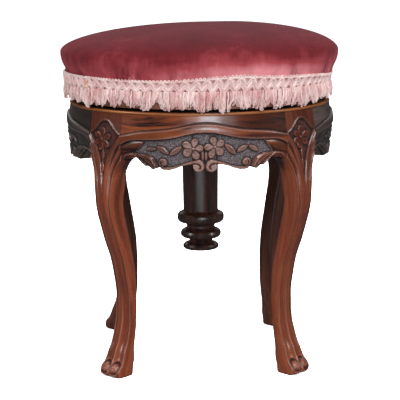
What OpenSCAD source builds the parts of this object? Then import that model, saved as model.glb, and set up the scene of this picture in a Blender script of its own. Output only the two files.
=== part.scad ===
// Revolving piano stool: an upholstered round seat on a threaded spindle, over a
// carved round base with four cabriole legs. Millimetres, +Z up, floor at Z = 0,
// the spindle's axis on the Z axis and the front apron facing -Y.
// The seat is drawn at its lowest setting.

/* [Base] */
// Height of the base's top edge above the floor
base_h = 366; // [330:1:460]
// Radius of the base at its rim bead
rim_r = 182.5; // [176:0.5:195]
// How far the bead stands out from the frieze
bead_proud = 1; // [0.5:0.25:2]
// Height of the half-round bead along the top edge
bead_h = 4; // [3:0.5:8]
// Radial width of the bead
bead_w = 6.5; // [5:0.5:12]
// Radial thickness of the curved aprons
apron_t = 23.5; // [20:0.5:32]
// Depth of the aprons, from the bead down to the scrolls
apron_drop = 73; // [60:1:90]
// How far the raised band stands out from the frieze
band_proud = 2.5; // [1:0.5:5]
// How deep the carved ground lies behind the frieze
ground_depth = 2; // [1:0.5:4]
// How far the aprons swell out below the bead
swell = 4.6; // [3:0.2:6]
// Radius of the pair of scrolls under the apron's middle
scroll_r = 7.8; // [5:0.1:10]
// Thickness of the round top board
board_t = 15; // [12:0.5:22]
// How far the board lies below the bead's top
board_sunk = 1; // [0.5:0.25:3]

/* [Legs] */
// Width of a leg's block at the top, between two aprons
block_w = 58; // [50:1:66]
// Radial depth of a leg's block
block_depth = 41.5; // [34:0.5:52]
// Greatest width of a leg below its block
leg_w = 37; // [30:0.5:44]
// Greatest radial depth of a leg below its block
leg_depth = 32; // [26:0.5:40]
// Depth of the channel down a leg's outer face
channel_depth = 1.6; // [0.5:0.1:3]

/* [Rails and blocks] */
// Width of the two halved rails under the board
rail_w = 64; // [56:1:80]
// Height of the halved rails
rail_h = 24; // [18:1:32]
// Width of a glue block, along the apron
glue_w = 18; // [12:1:26]
// Height of a glue block
glue_h = 32; // [20:1:40]

/* [Pillar] */
// Radius of the pillar's shaft at its lower end
shaft_r = 24.7; // [22.5:0.1:27]
// How much wider the shaft is under the rails
shaft_taper = 1.4; // [0.5:0.1:2]
// Radius of the spigot that fits the rails
spigot_r = 21; // [19.5:0.25:22]
// Radius of the largest ring
ring_r = 33.5; // [29:0.5:38]
// Height of the turned rings, from the shaft's end to the bottom
turned_h = 58; // [48:1:62]
// Length of the plain shaft below the rails
shaft_len = 120; // [110:1:126]
// Space left round the spindle in the pillar's bore
bore_space = 1.5; // [1:0.25:2.5]

/* [Spindle] */
// Radius of the spindle over its thread
thread_r = 12.5; // [11:0.25:13]
// Depth of the thread
thread_depth = 3; // [2:0.25:4]
// Rise of the seat for one full turn
lead = 8; // [6:0.5:10]
// Length of the spindle below the seat's hub
spindle_len = 175; // [160:1:178]
// Radial play between spindle and nut
thread_play = 0.45; // [0.3:0.05:0.8]
// Axial play on each flank of the thread
flank_play = 0.4; // [0.3:0.05:0.8]
// Radius of the nut plate's flange
flange_r = 34; // [32:0.5:44]
// Thickness of the nut plate's flange
flange_t = 4.5; // [3.5:0.25:7]
// Wall of the nut's tube
nut_wall = 3; // [2.5:0.25:4]
// Length of the nut's tube below its flange
nut_len = 30; // [20:1:36]

/* [Seat] */
// Space between the base and the seat's hoop at the lowest setting
seat_gap = 4; // [3.5:0.25:10]
// Outer radius of the seat's wooden hoop
seat_r = 178; // [172:0.5:190]
// Radial width of the hoop's lip under the board
lip_w = 38; // [32:1:50]
// Height of the whole hoop
hoop_h = 34; // [30:1:44]
// Radial width of the hoop beside the board
hoop_w = 19.7; // [14:0.1:26]
// Thickness of the seat's board
seat_board_t = 16; // [12:0.5:20]
// Radius of the iron plate under the board
plate_r = 60; // [50:1:80]
// Thickness of the iron plate
plate_t = 5; // [4:0.5:8]
// Radius of the spindle's hub
hub_r = 20; // [16:0.5:26]
// Thickness of the leather washer
washer_t = 2.5; // [1.5:0.25:3]
// Outer radius of the leather washer
washer_r = 30; // [24:0.5:32]

/* [Upholstery] */
// Greatest radius of the cushion
cushion_r = 194; // [188:0.5:206]
// Height of the velvet's widest line above the hoop's top
widest_h = 28; // [20:0.5:34]
// Height of the crown above the widest line
crown_h = 39; // [30:0.5:60]
// Thickness of the velvet with its calico lining
velvet_t = 1.8; // [1.2:0.1:3]
// Height of the braided heading
braid_h = 18; // [12:0.5:24]
// How far the braid's top stands above the hoop
braid_over = 6; // [3:0.5:9]
// Thickness of the braid
braid_t = 3.6; // [2.5:0.1:5]
// Length of the fringe below the braid
fringe_len = 19; // [12:0.5:21]
// Number of bunches in the fringe
fringe_count = 39; // [24:1:48]
// Number of tacks round the hoop
tack_count = 24; // [12:1:36]

/* [Screws] */
// Radius of a wood screw's shank
screw_r = 1.9; // [1.5:0.1:2.2]
// Radius of a wood screw's head
head_r = 3.8; // [3:0.1:4.4]
// Length of the top board's screws
long_screw = 28; // [20:1:34]
// Length of the nut plate's screws
short_screw = 13; // [10:0.5:14]
// Length of the seat's screws
seat_screw = 16; // [12:0.5:18]

/* [Hidden] */

$fn = 96;
small_fn = 24;

// Clearances and overruns
fit_gap = 0.3;
screw_gap = 0.1;
over = 1;

// Radii and levels of the base
frieze_r = rim_r - bead_proud;
rebate_r = rim_r - bead_w;
frame_top = base_h - bead_h;
board_top = base_h - board_sunk;
board_under = board_top - board_t;
board_r = rebate_r - fit_gap;
apron_in_r = frieze_r - apron_t;
face_reach = rim_r + swell + band_proud + over;
half_block = block_w / 2;
block_in = frieze_r - block_depth;
block_foot_share = 0.3;
block_foot = frame_top - apron_drop * block_foot_share;

// The aprons' swelling: share of the drop below the bead, share of the swell
swell_shares = [[0, 0], [0.24, 0.68], [0.44, 1], [0.56, 0.9], [1, 0.22]];
// Half of an apron's arc, from its middle to the leg's block
half_arc_deg = 45 - asin(half_block / frieze_r);
// How far an apron's outlines run on, past the end of its arc
past_share = 1.02;

// An apron's lower edge, from its middle to the leg: share of the half arc, share of the drop
edge_shares = [[0, 0.849], [0.123, 0.849], [0.185, 0.87], [0.241, 0.89], [0.335, 0.948],
    [0.424, 0.973], [0.485, 0.956], [0.543, 0.934], [0.582, 0.959], [0.626, 0.971],
    [0.67, 0.945], [0.702, 0.9], [0.708, 0.808], [0.758, 0.808], [0.802, 0.795],
    [0.833, 0.74], [0.848, 0.685], [0.917, 0.692], [past_share, 0.715]];
// The two edges of the raised band across an apron, as shares of the half arc and the drop
band_top_shares = [[0, 0.148], [0.093, 0.162], [0.28, 0.203], [0.37, 0.238], [0.467, 0.267],
    [0.67, 0.296], [0.882, 0.348], [past_share, 0.385]];
band_foot_shares = [[0, 0.279], [0.094, 0.297], [0.282, 0.359], [0.426, 0.419],
    [0.741, 0.444], [0.882, 0.473], [past_share, 0.51]];
// The lower edge of the sunk ground, as shares of the half arc and the drop
ground_shares = [[0, 0.77], [0.2, 0.8], [0.335, 0.87], [0.424, 0.885], [0.56, 0.85],
    [0.66, 0.82], [0.7, 0.72], [0.8, 0.7], [0.848, 0.63], [0.8, 0.47]];
// The scrolls' centres, as shares of the half arc and the drop
scroll_at_share = [0.069, 0.893];

// A leg's stations from the floor up: share of the frame's height, outer line as a share
// of the rim's radius, depth as a share of leg_depth, width as a share of leg_w
leg_shares = [
    [0, 1, 0.703, 0.892], [0.0082, 1.022, 0.922, 0.989], [0.0191, 1.026, 0.963, 1],
    [0.0328, 1.0105, 0.919, 1], [0.06, 0.973, 0.863, 0.94], [0.09, 0.947, 0.763, 0.876],
    [0.12, 0.917, 0.669, 0.838], [0.15, 0.8975, 0.613, 0.811], [0.194, 0.875, 0.563, 0.757],
    [0.24, 0.87, 0.566, 0.692], [0.3, 0.874, 0.616, 0.638], [0.38, 0.901, 0.741, 0.595],
    [0.443, 0.934, 0.809, 0.589], [0.505, 0.9825, 0.925, 0.584], [0.568, 1.0175, 0.953, 0.616],
    [0.6175, 1.044, 0.947, 0.659], [0.664, 1.054, 0.916, 0.714], [0.719, 1.05, 1, 0.838],
    [0.768, 1.0385, 0.984, 0.995]];
// The bracket above: share of the frame's height, outer line as a share of the rim's
// radius, and how far depth and width have gone towards the block's, as a share
bracket_shares = [
    [0.792, 1.0345, 0.16, 0.34], [0.805, 1.032, 0.24, 0.55], [0.816, 1.0305, 0.37, 0.8],
    [0.827, 1.0295, 0.55, 1], [0.838, 1.029, 0.77, 1], [0.846, 1.028, 0.93, 1],
    [0.874, 1.0258, 1, 1], [0.91, 1.0225, 1, 1]];
// One half of a leg's section, inside face to outside face: share of the half width,
// share of the depth, and share of the channel's depth taken off the outer face
section_shares = [[0.8, 0, 0], [1, 0.12, 0], [1, 0.62, 0], [0.92, 0.7, 0],
    [1, 0.82, 0], [0.98, 0.94, 0], [0.84, 1, 0], [0.6, 1, 0.3], [0.46, 1, 1], [0, 1, 0.8]];
// How far a leg's block lies behind the solid above it, so that no two faces run together
block_set = 0.8;
side_set = 0.1;
// How far the leg's skin runs up into its block
block_lap = 3.2;
// Share of the depth past which a point of the section lies on the outer face
outer_face_share = 0.9;

// Levels of the seat
hoop_under = base_h + seat_gap;
hoop_top = hoop_under + hoop_h;
seat_board_under = hoop_top - seat_board_t;
lip_in_r = seat_r - lip_w;
hoop_in_r = seat_r - hoop_w;
plate_under = seat_board_under - plate_t;
hub_under = board_top + washer_t + fit_gap;
core_r = thread_r - thread_depth;

// Upholstery
crown_power = 2.3;
crown_root = 0.53;
crown_steps = 16;
side_power = 2;
side_steps = 6;
widest_z = hoop_top + widest_h;
tuck_r = seat_r + fit_gap + velvet_t;
tuck_under_share = 0.6;
tuck_under = hoop_top - hoop_h * tuck_under_share;
head_t = 1;
tack_head_r = 3;
tack_r = 0.8;
tack_len = 12;
tack_under_share = 0.18;
tack_z = hoop_top - hoop_h * tack_under_share;
braid_in_r = tuck_r + head_t + fit_gap;
braid_top = hoop_top + braid_over;
braid_under = braid_top - braid_h;
braid_lip_share = 0.6;
notch_w_share = 0.42;
notch_h_share = 0.6;

// Spindle and nut
thread_seg = 18;
flank_shares = [0.05, 0.24, 0.52, 0.71];
fade_share = 0.2;
foot_share = 0.25;
spindle_under = hub_under - spindle_len;
thread_turns = ceil((board_top - spindle_under) / lead) + 1;
shank_under = spindle_under + thread_turns * lead;
nut_r = thread_r + thread_play + nut_wall;
nut_under = board_top - flange_t - nut_len;
flange_under = board_top - flange_t;
nut_cut_turn = floor((nut_under - spindle_under) / lead) - 2;
nut_cut_turns = ceil((flange_t + nut_len) / lead) + 5;

// Pillar
rail_under = board_under - rail_h;
shaft_under = rail_under - shaft_len;
bore_r = thread_r + bore_space;
bore_under = spindle_under - lead * foot_share - bore_space;
spigot_bore_r = nut_r + fit_gap;
// The turned rings from the shaft down: radius as a share of ring_r, depth as a share of turned_h
turned_shares = [[0.738, 0], [0.76, 0.02], [0.82, 0.045], [0.88, 0.06], [0.945, 0.08], [0.985, 0.115],
    [1, 0.165], [0.995, 0.215], [0.97, 0.26], [0.9, 0.298], [0.77, 0.323], [0.65, 0.348],
    [0.6, 0.385], [0.6, 0.43], [0.65, 0.46], [0.76, 0.49], [0.83, 0.525], [0.868, 0.575],
    [0.855, 0.635], [0.78, 0.68], [0.65, 0.705], [0.52, 0.733], [0.485, 0.77], [0.52, 0.797],
    [0.63, 0.822], [0.72, 0.85], [0.77, 0.895], [0.765, 0.94], [0.7, 0.972], [0.5, 0.99], [0, 1]];

// Screws
head_share = 0.9;
plate_screw_count = 6;
nut_screw_count = 4;
nut_screw_at = (nut_r + flange_r) / 2;
plate_screw_at_share = 0.72;
board_screw_turn = 16;

// Height of the crown over the widest line at a radius
function crown_at(r, big_r, h) = h * pow(max(0, 1 - pow(r / big_r, crown_power)), crown_root);

// Radius of the cushion's side at a height between the hoop's top and the widest line
function side_r(z, skin) = let(
        neck_r = tuck_r - skin,
        big_r = cushion_r - skin
    ) neck_r + (big_r - neck_r) * (1 - pow(1 - (z - hoop_top) / widest_h, side_power));

// Half outline of the cushion, drawn in by a skin's thickness
function cushion_outline(skin, foot) = let(
        big_r = cushion_r - skin,
        h = crown_h - skin
    ) concat(
        [[tuck_r - skin, foot], [tuck_r - skin, hoop_top]],
        [for (i = [1 : side_steps - 1]) let(z = hoop_top + widest_h * i / side_steps) [side_r(z, skin), z]],
        [for (i = [0 : crown_steps - 1]) let(r = big_r * cos(i * 90 / crown_steps))
            [r, widest_z + crown_at(r, big_r, h)]],
        [[0, widest_z + h]]);

// Radius of the aprons' plain face at a height
function face_r(z) = frieze_r + swell * lookup((frame_top - z) / apron_drop, swell_shares);

// Place on an apron's face: sideways distance and height from shares of arc and drop
function apron_point(p, side) = [
    side * frieze_r * sin(p[0] * half_arc_deg), frame_top - p[1] * apron_drop];
function backwards(list) = [for (i = [len(list) - 1 : -1 : 0]) list[i]];
function apron_line(shares) = concat(
    [for (i = [len(shares) - 1 : -1 : 1]) apron_point(shares[i], -1)],
    [for (p = shares) apron_point(p, 1)]);

// Outer line, inner line and half width of each station of a leg: height, outer, inner, half width
leg_top_z = block_foot + block_lap;
stations = concat(
    [for (s = leg_shares) [s[0] * base_h, s[1] * rim_r, s[1] * rim_r - s[2] * leg_depth,
        s[3] * leg_w / 2, 1]],
    [for (s = bracket_shares) let(
            deep = 1 - s[2],
            last = leg_shares[len(leg_shares) - 1],
            out = s[1] * rim_r,
            knee_in = last[1] * rim_r - last[2] * leg_depth
        ) [s[0] * base_h, out, knee_in * deep + (block_in + side_set) * s[2],
            last[3] * leg_w / 2 * (1 - s[3]) + (half_block - side_set) * s[3], 1 - s[3]]],
    [[leg_top_z, face_r(leg_top_z) - block_set, block_in + side_set, half_block - side_set, 0]]);

// One ring of a leg's section
function crown_of(st) = st[3] * st[3] / frieze_r / 2 + (st[1] - face_r(st[0])) * (1 - st[4]);
function section_point(st, p, side) = let(u = side * p[0]) [
    st[2] + (st[1] - st[2]) * p[1]
        - (p[1] > outer_face_share ? channel_depth * p[2] * st[4] + max(0, crown_of(st)) * u * u : 0),
    u * st[3], st[0]];
function section_ring(st) = concat(
    [for (p = section_shares) section_point(st, p, -1)],
    [for (i = [len(section_shares) - 2 : -1 : 0]) section_point(st, section_shares[i], 1)]);

// Closed skin over rings of equal length, first ring at the bottom
module skin(rings) {
    n = len(rings[0]);
    points = [for (ring = rings) each ring];
    sides = [for (j = [0 : len(rings) - 2], i = [0 : n - 1]) let(k = (i + 1) % n)
        each [[j * n + i, (j + 1) * n + k, j * n + k], [j * n + i, (j + 1) * n + i, (j + 1) * n + k]]];
    foot = [for (i = [0 : n - 1]) i];
    head = [for (i = [n - 1 : -1 : 0]) (len(rings) - 1) * n + i];
    polyhedron(points, concat([foot], sides, [head]));
}

// Solid helical thread, faded at both ends, with round ends of its core radius
module thread_solid(core, crest, under, turns, spread, fade) {
    steps = turns * thread_seg;
    last = steps - thread_seg;
    function height_at(i) = fade ? min(1, fade_share + min(i, steps - i) / thread_seg) : 1;
    function profile_r(i, k) = (k == 1 || k == 2) ? core + (crest - core) * height_at(i) : core;
    function profile_z(k) = lead * flank_shares[k] + (k < 2 ? -spread : spread);
    function vertex(i, k) = let(a = 360 * i / thread_seg, r = profile_r(i, k))
        [r * cos(a), r * sin(a), under + lead * i / thread_seg + profile_z(k)];
    function end_ring(z) = [for (i = [0 : thread_seg - 1]) let(a = 360 * i / thread_seg)
        [core * cos(a), core * sin(a), z]];
    grid = [for (i = [0 : steps], k = [0 : 3]) vertex(i, k)];
    foot_at = len(grid);
    head_at = foot_at + thread_seg;
    function v(i, k) = i * 4 + k;
    function f(i) = foot_at + i % thread_seg;
    function t(i) = head_at + i % thread_seg;
    flanks = [for (i = [0 : steps - 1], k = [0 : 2])
        each [[v(i, k), v(i + 1, k + 1), v(i + 1, k)], [v(i, k), v(i, k + 1), v(i + 1, k + 1)]]];
    roots = [for (i = [0 : last - 1])
        each [[v(i, 3), v(i + 1 + thread_seg, 0), v(i + 1, 3)],
            [v(i, 3), v(i + thread_seg, 0), v(i + 1 + thread_seg, 0)]]];
    foot_band = [for (i = [0 : thread_seg - 2])
        each [[f(i), v(i + 1, 0), f(i + 1)], [f(i), v(i, 0), v(i + 1, 0)]]];
    s = thread_seg - 1;
    foot_seam = [[f(s), v(0, 0), f(0)], [f(s), v(0, 3), v(0, 0)],
        [f(s), v(thread_seg, 0), v(0, 3)], [f(s), v(s, 0), v(thread_seg, 0)],
        [v(0, 0), v(0, 3), v(0, 2), v(0, 1)]];
    head_band = [for (i = [1 : thread_seg - 1])
        each [[v(last + i, 3), t(i + 1), v(last + i + 1, 3)], [v(last + i, 3), t(i), t(i + 1)]]];
    n = last + 1;
    head_seam = [[v(last, 3), v(steps, 0), v(n, 3)], [v(steps, 0), v(steps, 3), v(n, 3)],
        [v(steps, 3), t(0), v(n, 3)], [v(n, 3), t(0), t(1)],
        [v(steps, 0), v(steps, 1), v(steps, 2), v(steps, 3)]];
    foot = [[for (i = [0 : thread_seg - 1]) f(i)]];
    head = [[for (i = [thread_seg - 1 : -1 : 0]) t(i)]];
    polyhedron(concat(grid, end_ring(under - lead * foot_share), end_ring(under + lead * (turns + 1))),
        concat(flanks, roots, foot_band, foot_seam, head_band, head_seam, foot, head));
}

// Ring of rectangular section
module ring(in_r, out_r, under, h) {
    translate([0, 0, under]) rotate_extrude() translate([in_r, 0]) square([out_r - in_r, h]);
}

// Plain disc
module disc(r, under, h) {
    translate([0, 0, under]) cylinder(r = r, h = h);
}

// Places for pieces that repeat round the axis
module around(count, r, turn) {
    for (i = [0 : count - 1]) rotate([0, 0, turn + i * 360 / count]) translate([r, 0, 0]) children();
}

// Countersunk wood screw with its head's top at the origin, pointing down
module wood_screw(len, gap) {
    head_h = head_r * head_share;
    translate([0, 0, -len]) cylinder(r = screw_r + gap, h = len, $fn = small_fn);
    translate([0, 0, -head_h]) cylinder(r1 = screw_r + gap, r2 = head_r + gap, h = head_h, $fn = small_fn);
}
module board_screw_set(gap) {
    for (side = [0 : 3]) for (hand = [-1, 1])
        rotate([0, 0, side * 90 - 90 + hand * board_screw_turn])
            translate([(board_r + apron_in_r) / 2, 0, board_top]) wood_screw(long_screw, gap);
}
module nut_screw_set(gap) {
    around(nut_screw_count, nut_screw_at, 0) translate([0, 0, board_top]) wood_screw(short_screw, gap);
}
module plate_screw_set(gap) {
    around(plate_screw_count, plate_r * plate_screw_at_share, 30)
        translate([0, 0, plate_under]) mirror([0, 0, 1]) wood_screw(seat_screw, gap);
}
module ring_screw_set(gap) {
    around(plate_screw_count, (lip_in_r + hoop_in_r) / 2, 0)
        translate([0, 0, hoop_under]) mirror([0, 0, 1])
            wood_screw(seat_board_under - hoop_under + seat_screw / 2, gap);
}
module tack_set(gap) {
    around(tack_count, tuck_r + fit_gap / 2, 0) translate([0, 0, tack_z]) rotate([0, 90, 0]) {
        cylinder(r = tack_head_r + gap, h = head_t, $fn = small_fn);
        translate([0, 0, -tack_len]) cylinder(r = tack_r + gap, h = tack_len, $fn = small_fn);
    }
}

// Seat pieces
module velvet_cover() {
    color("#8c2f3c") difference() {
        rotate_extrude() polygon(concat([[0, tuck_under]], cushion_outline(0, tuck_under)));
        rotate_extrude() polygon(concat([[0, tuck_under - over]],
            cushion_outline(velvet_t, tuck_under - over)));
        tack_set(screw_gap);
    }
}
module stuffing_pad() {
    color("#d9cdb5") rotate_extrude() polygon(concat([[0, hoop_top]],
        cushion_outline(velvet_t + fit_gap, hoop_top)));
}
module seat_board() {
    color("#b08a5a") difference() {
        disc(hoop_in_r - fit_gap, seat_board_under, seat_board_t);
        disc(thread_r + screw_gap, seat_board_under - over, seat_board_t + over * 2);
        plate_screw_set(screw_gap);
        ring_screw_set(screw_gap);
    }
}
module seat_ring() {
    color("#a5735c") difference() {
        ring(lip_in_r, seat_r, hoop_under, hoop_h);
        disc(hoop_in_r, seat_board_under, hoop_h);
        ring_screw_set(screw_gap);
        tack_set(screw_gap);
    }
}
module seat_ring_screws() {
    color("#9a9a9a") ring_screw_set(0);
}
module cover_tacks() {
    color("#6b5a45") tack_set(0);
}
module braid_band() {
    braid_lip_r = side_r(braid_top, 0) + fit_gap * 2;
    color("#d9a6a6") rotate_extrude() polygon([
        [braid_in_r, braid_under], [braid_in_r + braid_t, braid_under],
        [braid_in_r + braid_t, hoop_top], [braid_lip_r + braid_t * braid_lip_share, braid_top],
        [braid_lip_r, braid_top], [braid_in_r, hoop_top]]);
}
module fringe_skirt() {
    pitch = 2 * PI * braid_in_r / fringe_count;
    notch = pitch * notch_w_share;
    color("#dfb0ae") difference() {
        ring(braid_in_r, braid_in_r + braid_t, braid_under - fringe_len, fringe_len);
        around(fringe_count, braid_in_r - over, 0) translate([0, 0, braid_under - fringe_len - over])
            rotate([90, 0, 90]) linear_extrude(braid_t + over * 2)
                polygon([[-notch / 2, 0], [notch / 2, 0], [0, fringe_len * notch_h_share + over]]);
    }
}
module seat_plate() {
    color("#4a4a4c") difference() {
        disc(plate_r, plate_under, plate_t);
        disc(thread_r + screw_gap, plate_under - over, plate_t + over * 2);
        plate_screw_set(screw_gap);
    }
}
module seat_plate_screws() {
    color("#9a9a9a") plate_screw_set(0);
}
module spindle_collar() {
    color("#55504c") difference() {
        disc(hub_r, hub_under, plate_under - hub_under);
        disc(thread_r + screw_gap, hub_under - over, plate_under - hub_under + over * 2);
    }
}
module spindle_screw() {
    color("#77726c") {
        thread_solid(core_r, thread_r, spindle_under, thread_turns, 0, true);
        disc(thread_r, shank_under, hoop_top - over - shank_under);
    }
}

// The piece between seat and base
module leather_washer() {
    color("#5b3a22") ring(thread_r + thread_play, washer_r, board_top, washer_t);
}

// Base pieces
module nut_plate() {
    color("#5a5a58") difference() {
        union() {
            disc(flange_r, flange_under, flange_t);
            disc(nut_r, nut_under, nut_len + flange_t / 2);
        }
        thread_solid(core_r + thread_play, thread_r + thread_play,
            spindle_under + nut_cut_turn * lead, nut_cut_turns, flank_play, false);
        nut_screw_set(screw_gap);
    }
}
module nut_plate_screws() {
    color("#9a9a9a") nut_screw_set(0);
}
module top_board() {
    color("#3b3b3d") difference() {
        disc(board_r, board_under, board_t);
        disc(flange_r + fit_gap, flange_under, flange_t + over);
        disc(spigot_bore_r, board_under - over, board_t);
        nut_screw_set(screw_gap);
        board_screw_set(screw_gap);
    }
}
module top_board_screws() {
    color("#9a9a9a") board_screw_set(0);
}
module rim_bead() {
    color("#b0743c") translate([0, 0, frame_top]) rotate_extrude() union() {
        translate([rebate_r, 0]) square([bead_w - bead_h / 2, bead_h]);
        translate([rim_r - bead_h / 2, bead_h / 2]) circle(r = bead_h / 2, $fn = small_fn);
    }
}

// Ring of the frieze between two levels, its swelling face moved out by the given step
module frieze(in_r, step, under, head) {
    steps = [for (s = swell_shares) let(z = frame_top - s[0] * apron_drop) if (z > under && z < head) z];
    rotate_extrude() polygon(concat([[in_r, head]],
        [for (z = concat([head], steps, [under])) [face_r(z) + step, z]], [[in_r, under]]));
}
// Sector of the base between two legs' blocks, facing -Y
module apron_wedge() {
    reach = rim_r + block_w;
    apex = -half_block * sqrt(2);
    translate([0, 0, frame_top - apron_drop - scroll_r]) linear_extrude(apron_drop + scroll_r * 2)
        polygon([[0, apex], [-reach, apex - reach], [reach, apex - reach]]);
}
// Straight prism from the middle of the base out through an outline on the apron's face
module face_prism(outline) {
    rotate([90, 0, 0]) linear_extrude(face_reach) polygon(outline);
}
module apron() {
    lower = apron_line(edge_shares);
    first = lower[0];
    final = lower[len(lower) - 1];
    far = half_block;
    scroll = apron_point(scroll_at_share, 1);
    low = frame_top - apron_drop;
    band = concat(apron_line(band_top_shares), backwards(apron_line(band_foot_shares)));
    ground = apron_line(ground_shares);
    ground_top = [for (p = backwards(apron_line(band_foot_shares))) if (abs(p[0]) < abs(ground[0][0])) p];
    color("#6b2f1c") difference() {
        intersection() {
            union() {
                frieze(apron_in_r, 0, low, frame_top);
                intersection() {
                    frieze(apron_in_r + over, band_proud, low, frame_top);
                    face_prism(band);
                }
            }
            apron_wedge();
            union() {
                face_prism(concat([[first[0] - far, first[1]]], lower,
                    [[final[0] + far, final[1]], [final[0] + far, frame_top + over],
                    [first[0] - far, frame_top + over]]));
                for (side = [-1, 1]) translate([side * scroll[0], 0, scroll[1]])
                    rotate([90, 0, 0]) cylinder(r = scroll_r, h = face_reach, $fn = small_fn);
            }
        }
        disc(rebate_r, board_under, base_h - board_under);
        board_screw_set(screw_gap);
        intersection() {
            face_prism(concat(ground, ground_top));
            difference() {
                ring(apron_in_r + over, face_reach, low, apron_drop);
                frieze(apron_in_r, -ground_depth, low - over, frame_top);
            }
        }
    }
}
module apron_front() {
    apron();
}
module apron_right() {
    rotate([0, 0, 90]) apron();
}
module apron_back() {
    rotate([0, 0, 180]) apron();
}
module apron_left() {
    rotate([0, 0, 270]) apron();
}

// A leg along +X, from the floor to the bead
module leg() {
    color("#7a3a20") difference() {
        union() {
            skin([for (st = stations) section_ring(st)]);
            intersection() {
                translate([block_in, -half_block, block_foot])
                    cube([block_depth + swell + over, block_w, frame_top - block_foot]);
                frieze(block_in - over, 0, block_foot, frame_top);
            }
        }
        disc(rebate_r, board_under, base_h - board_under);
    }
}
module leg_front_left() {
    rotate([0, 0, 225]) leg();
}
module leg_front_right() {
    rotate([0, 0, 315]) leg();
}
module leg_back_right() {
    rotate([0, 0, 45]) leg();
}
module leg_back_left() {
    rotate([0, 0, 135]) leg();
}

// Rail between two opposite blocks, along X, with its half lap at the given level
module rail(lap_under) {
    difference() {
        translate([-block_in, -rail_w / 2, rail_under]) cube([block_in * 2, rail_w, rail_h]);
        translate([-rail_w / 2, -rail_w / 2 - over, lap_under])
            cube([rail_w, rail_w + over * 2, rail_h / 2 + over]);
        disc(spigot_r + fit_gap, rail_under - over, rail_h + over * 2);
    }
}
module cross_rail_a() {
    color("#8a6a45") rotate([0, 0, 45]) rail(rail_under + rail_h / 2);
}
module cross_rail_b() {
    color("#94724c") rotate([0, 0, 135]) rail(rail_under - over);
}
module corner_blocks() {
    color("#a07c50") for (i = [0 : 3]) rotate([0, 0, 45 + i * 90]) for (side = [-1, 1])
        intersection() {
            disc(apron_in_r - fit_gap, board_under - glue_h, glue_h);
            translate([block_in, side > 0 ? half_block : -half_block - glue_w, board_under - glue_h])
                cube([block_depth, glue_w, glue_h]);
        }
}
module screw_pillar() {
    color("#2b1a14") difference() {
        rotate_extrude() polygon(concat(
            [[0, board_under], [spigot_r, board_under], [spigot_r, rail_under],
                [shaft_r + shaft_taper, rail_under]],
            [for (p = turned_shares) [p[0] * ring_r, shaft_under - p[1] * turned_h]]));
        disc(bore_r, bore_under, board_under - bore_under + over);
        disc(spigot_bore_r, nut_under - fit_gap, board_under - nut_under + over);
    }
}

velvet_cover();
stuffing_pad();
seat_board();
seat_ring();
seat_ring_screws();
cover_tacks();
braid_band();
fringe_skirt();
seat_plate();
seat_plate_screws();
spindle_collar();
spindle_screw();
leather_washer();
nut_plate();
nut_plate_screws();
top_board();
top_board_screws();
rim_bead();
apron_front();
apron_right();
apron_back();
apron_left();
leg_front_left();
leg_front_right();
leg_back_right();
leg_back_left();
cross_rail_a();
cross_rail_b();
corner_blocks();
screw_pillar();
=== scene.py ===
import math

import bpy
import numpy as np
from mathutils import Euler, Matrix, Vector


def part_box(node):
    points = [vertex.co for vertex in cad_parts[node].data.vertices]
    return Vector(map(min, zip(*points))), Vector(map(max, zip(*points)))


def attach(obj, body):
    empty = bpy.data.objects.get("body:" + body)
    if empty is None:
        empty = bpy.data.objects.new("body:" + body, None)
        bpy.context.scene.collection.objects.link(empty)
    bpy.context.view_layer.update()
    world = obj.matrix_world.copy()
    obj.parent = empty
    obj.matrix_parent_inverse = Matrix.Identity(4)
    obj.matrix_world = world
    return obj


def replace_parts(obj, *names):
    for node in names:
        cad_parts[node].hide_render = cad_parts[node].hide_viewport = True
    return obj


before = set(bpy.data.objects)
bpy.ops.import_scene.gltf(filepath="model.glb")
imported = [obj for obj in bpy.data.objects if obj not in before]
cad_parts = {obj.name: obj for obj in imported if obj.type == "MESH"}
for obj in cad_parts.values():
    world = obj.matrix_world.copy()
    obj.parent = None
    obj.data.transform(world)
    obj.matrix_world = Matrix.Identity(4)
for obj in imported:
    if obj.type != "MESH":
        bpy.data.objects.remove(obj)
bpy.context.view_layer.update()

MM = 0.001
SEED = 7

# Levels and radii of the solids, as the frame has them
BEAD_LO, BEAD_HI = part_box("rim_bead")
FRAME_TOP = BEAD_LO.z / MM
BOARD_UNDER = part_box("top_board")[0].z / MM
CUSHION_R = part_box("velvet_cover")[1].x / MM
BRAID_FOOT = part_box("braid_band")[0].z / MM
# Sizes that the carved pieces share with the solids
BEAD_OVER = 1.0
BEAD_W = 6.5
FRIEZE_R = BEAD_HI.x / MM - BEAD_OVER
REBATE_R = BEAD_HI.x / MM - BEAD_W
HALF_BLOCK = 29.0
APRON_IN = 158.0
JOINT_GAP = 0.12
PART_TOP = FRAME_TOP - JOINT_GAP
BACK_UNDER = BOARD_UNDER - 0.15
# Relief of the raised band and of the sunk ground between the carvings
BAND_PROUD = 2.5
GROUND = -2.0
# How far the frieze swells out at a height
SWELL = [
    (280, 0.9), (289, 1.0), (300, 1.6), (311, 2.8), (321, 4.1), (330, 4.6), (337, 4.2), (344.5, 3.1),
    (351, 2.0), (357, 1.0), (362, 0.25)]


# Arithmetic on arrays of points

def smooth(x, low, high):
    """Smooth step from 0 at low to 1 at high."""
    t = np.clip((x - low) / (high - low), 0, 1)
    return t * t * (3 - 2 * t)


def bell(x, width):
    return np.exp(-np.square(x / width))


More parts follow.
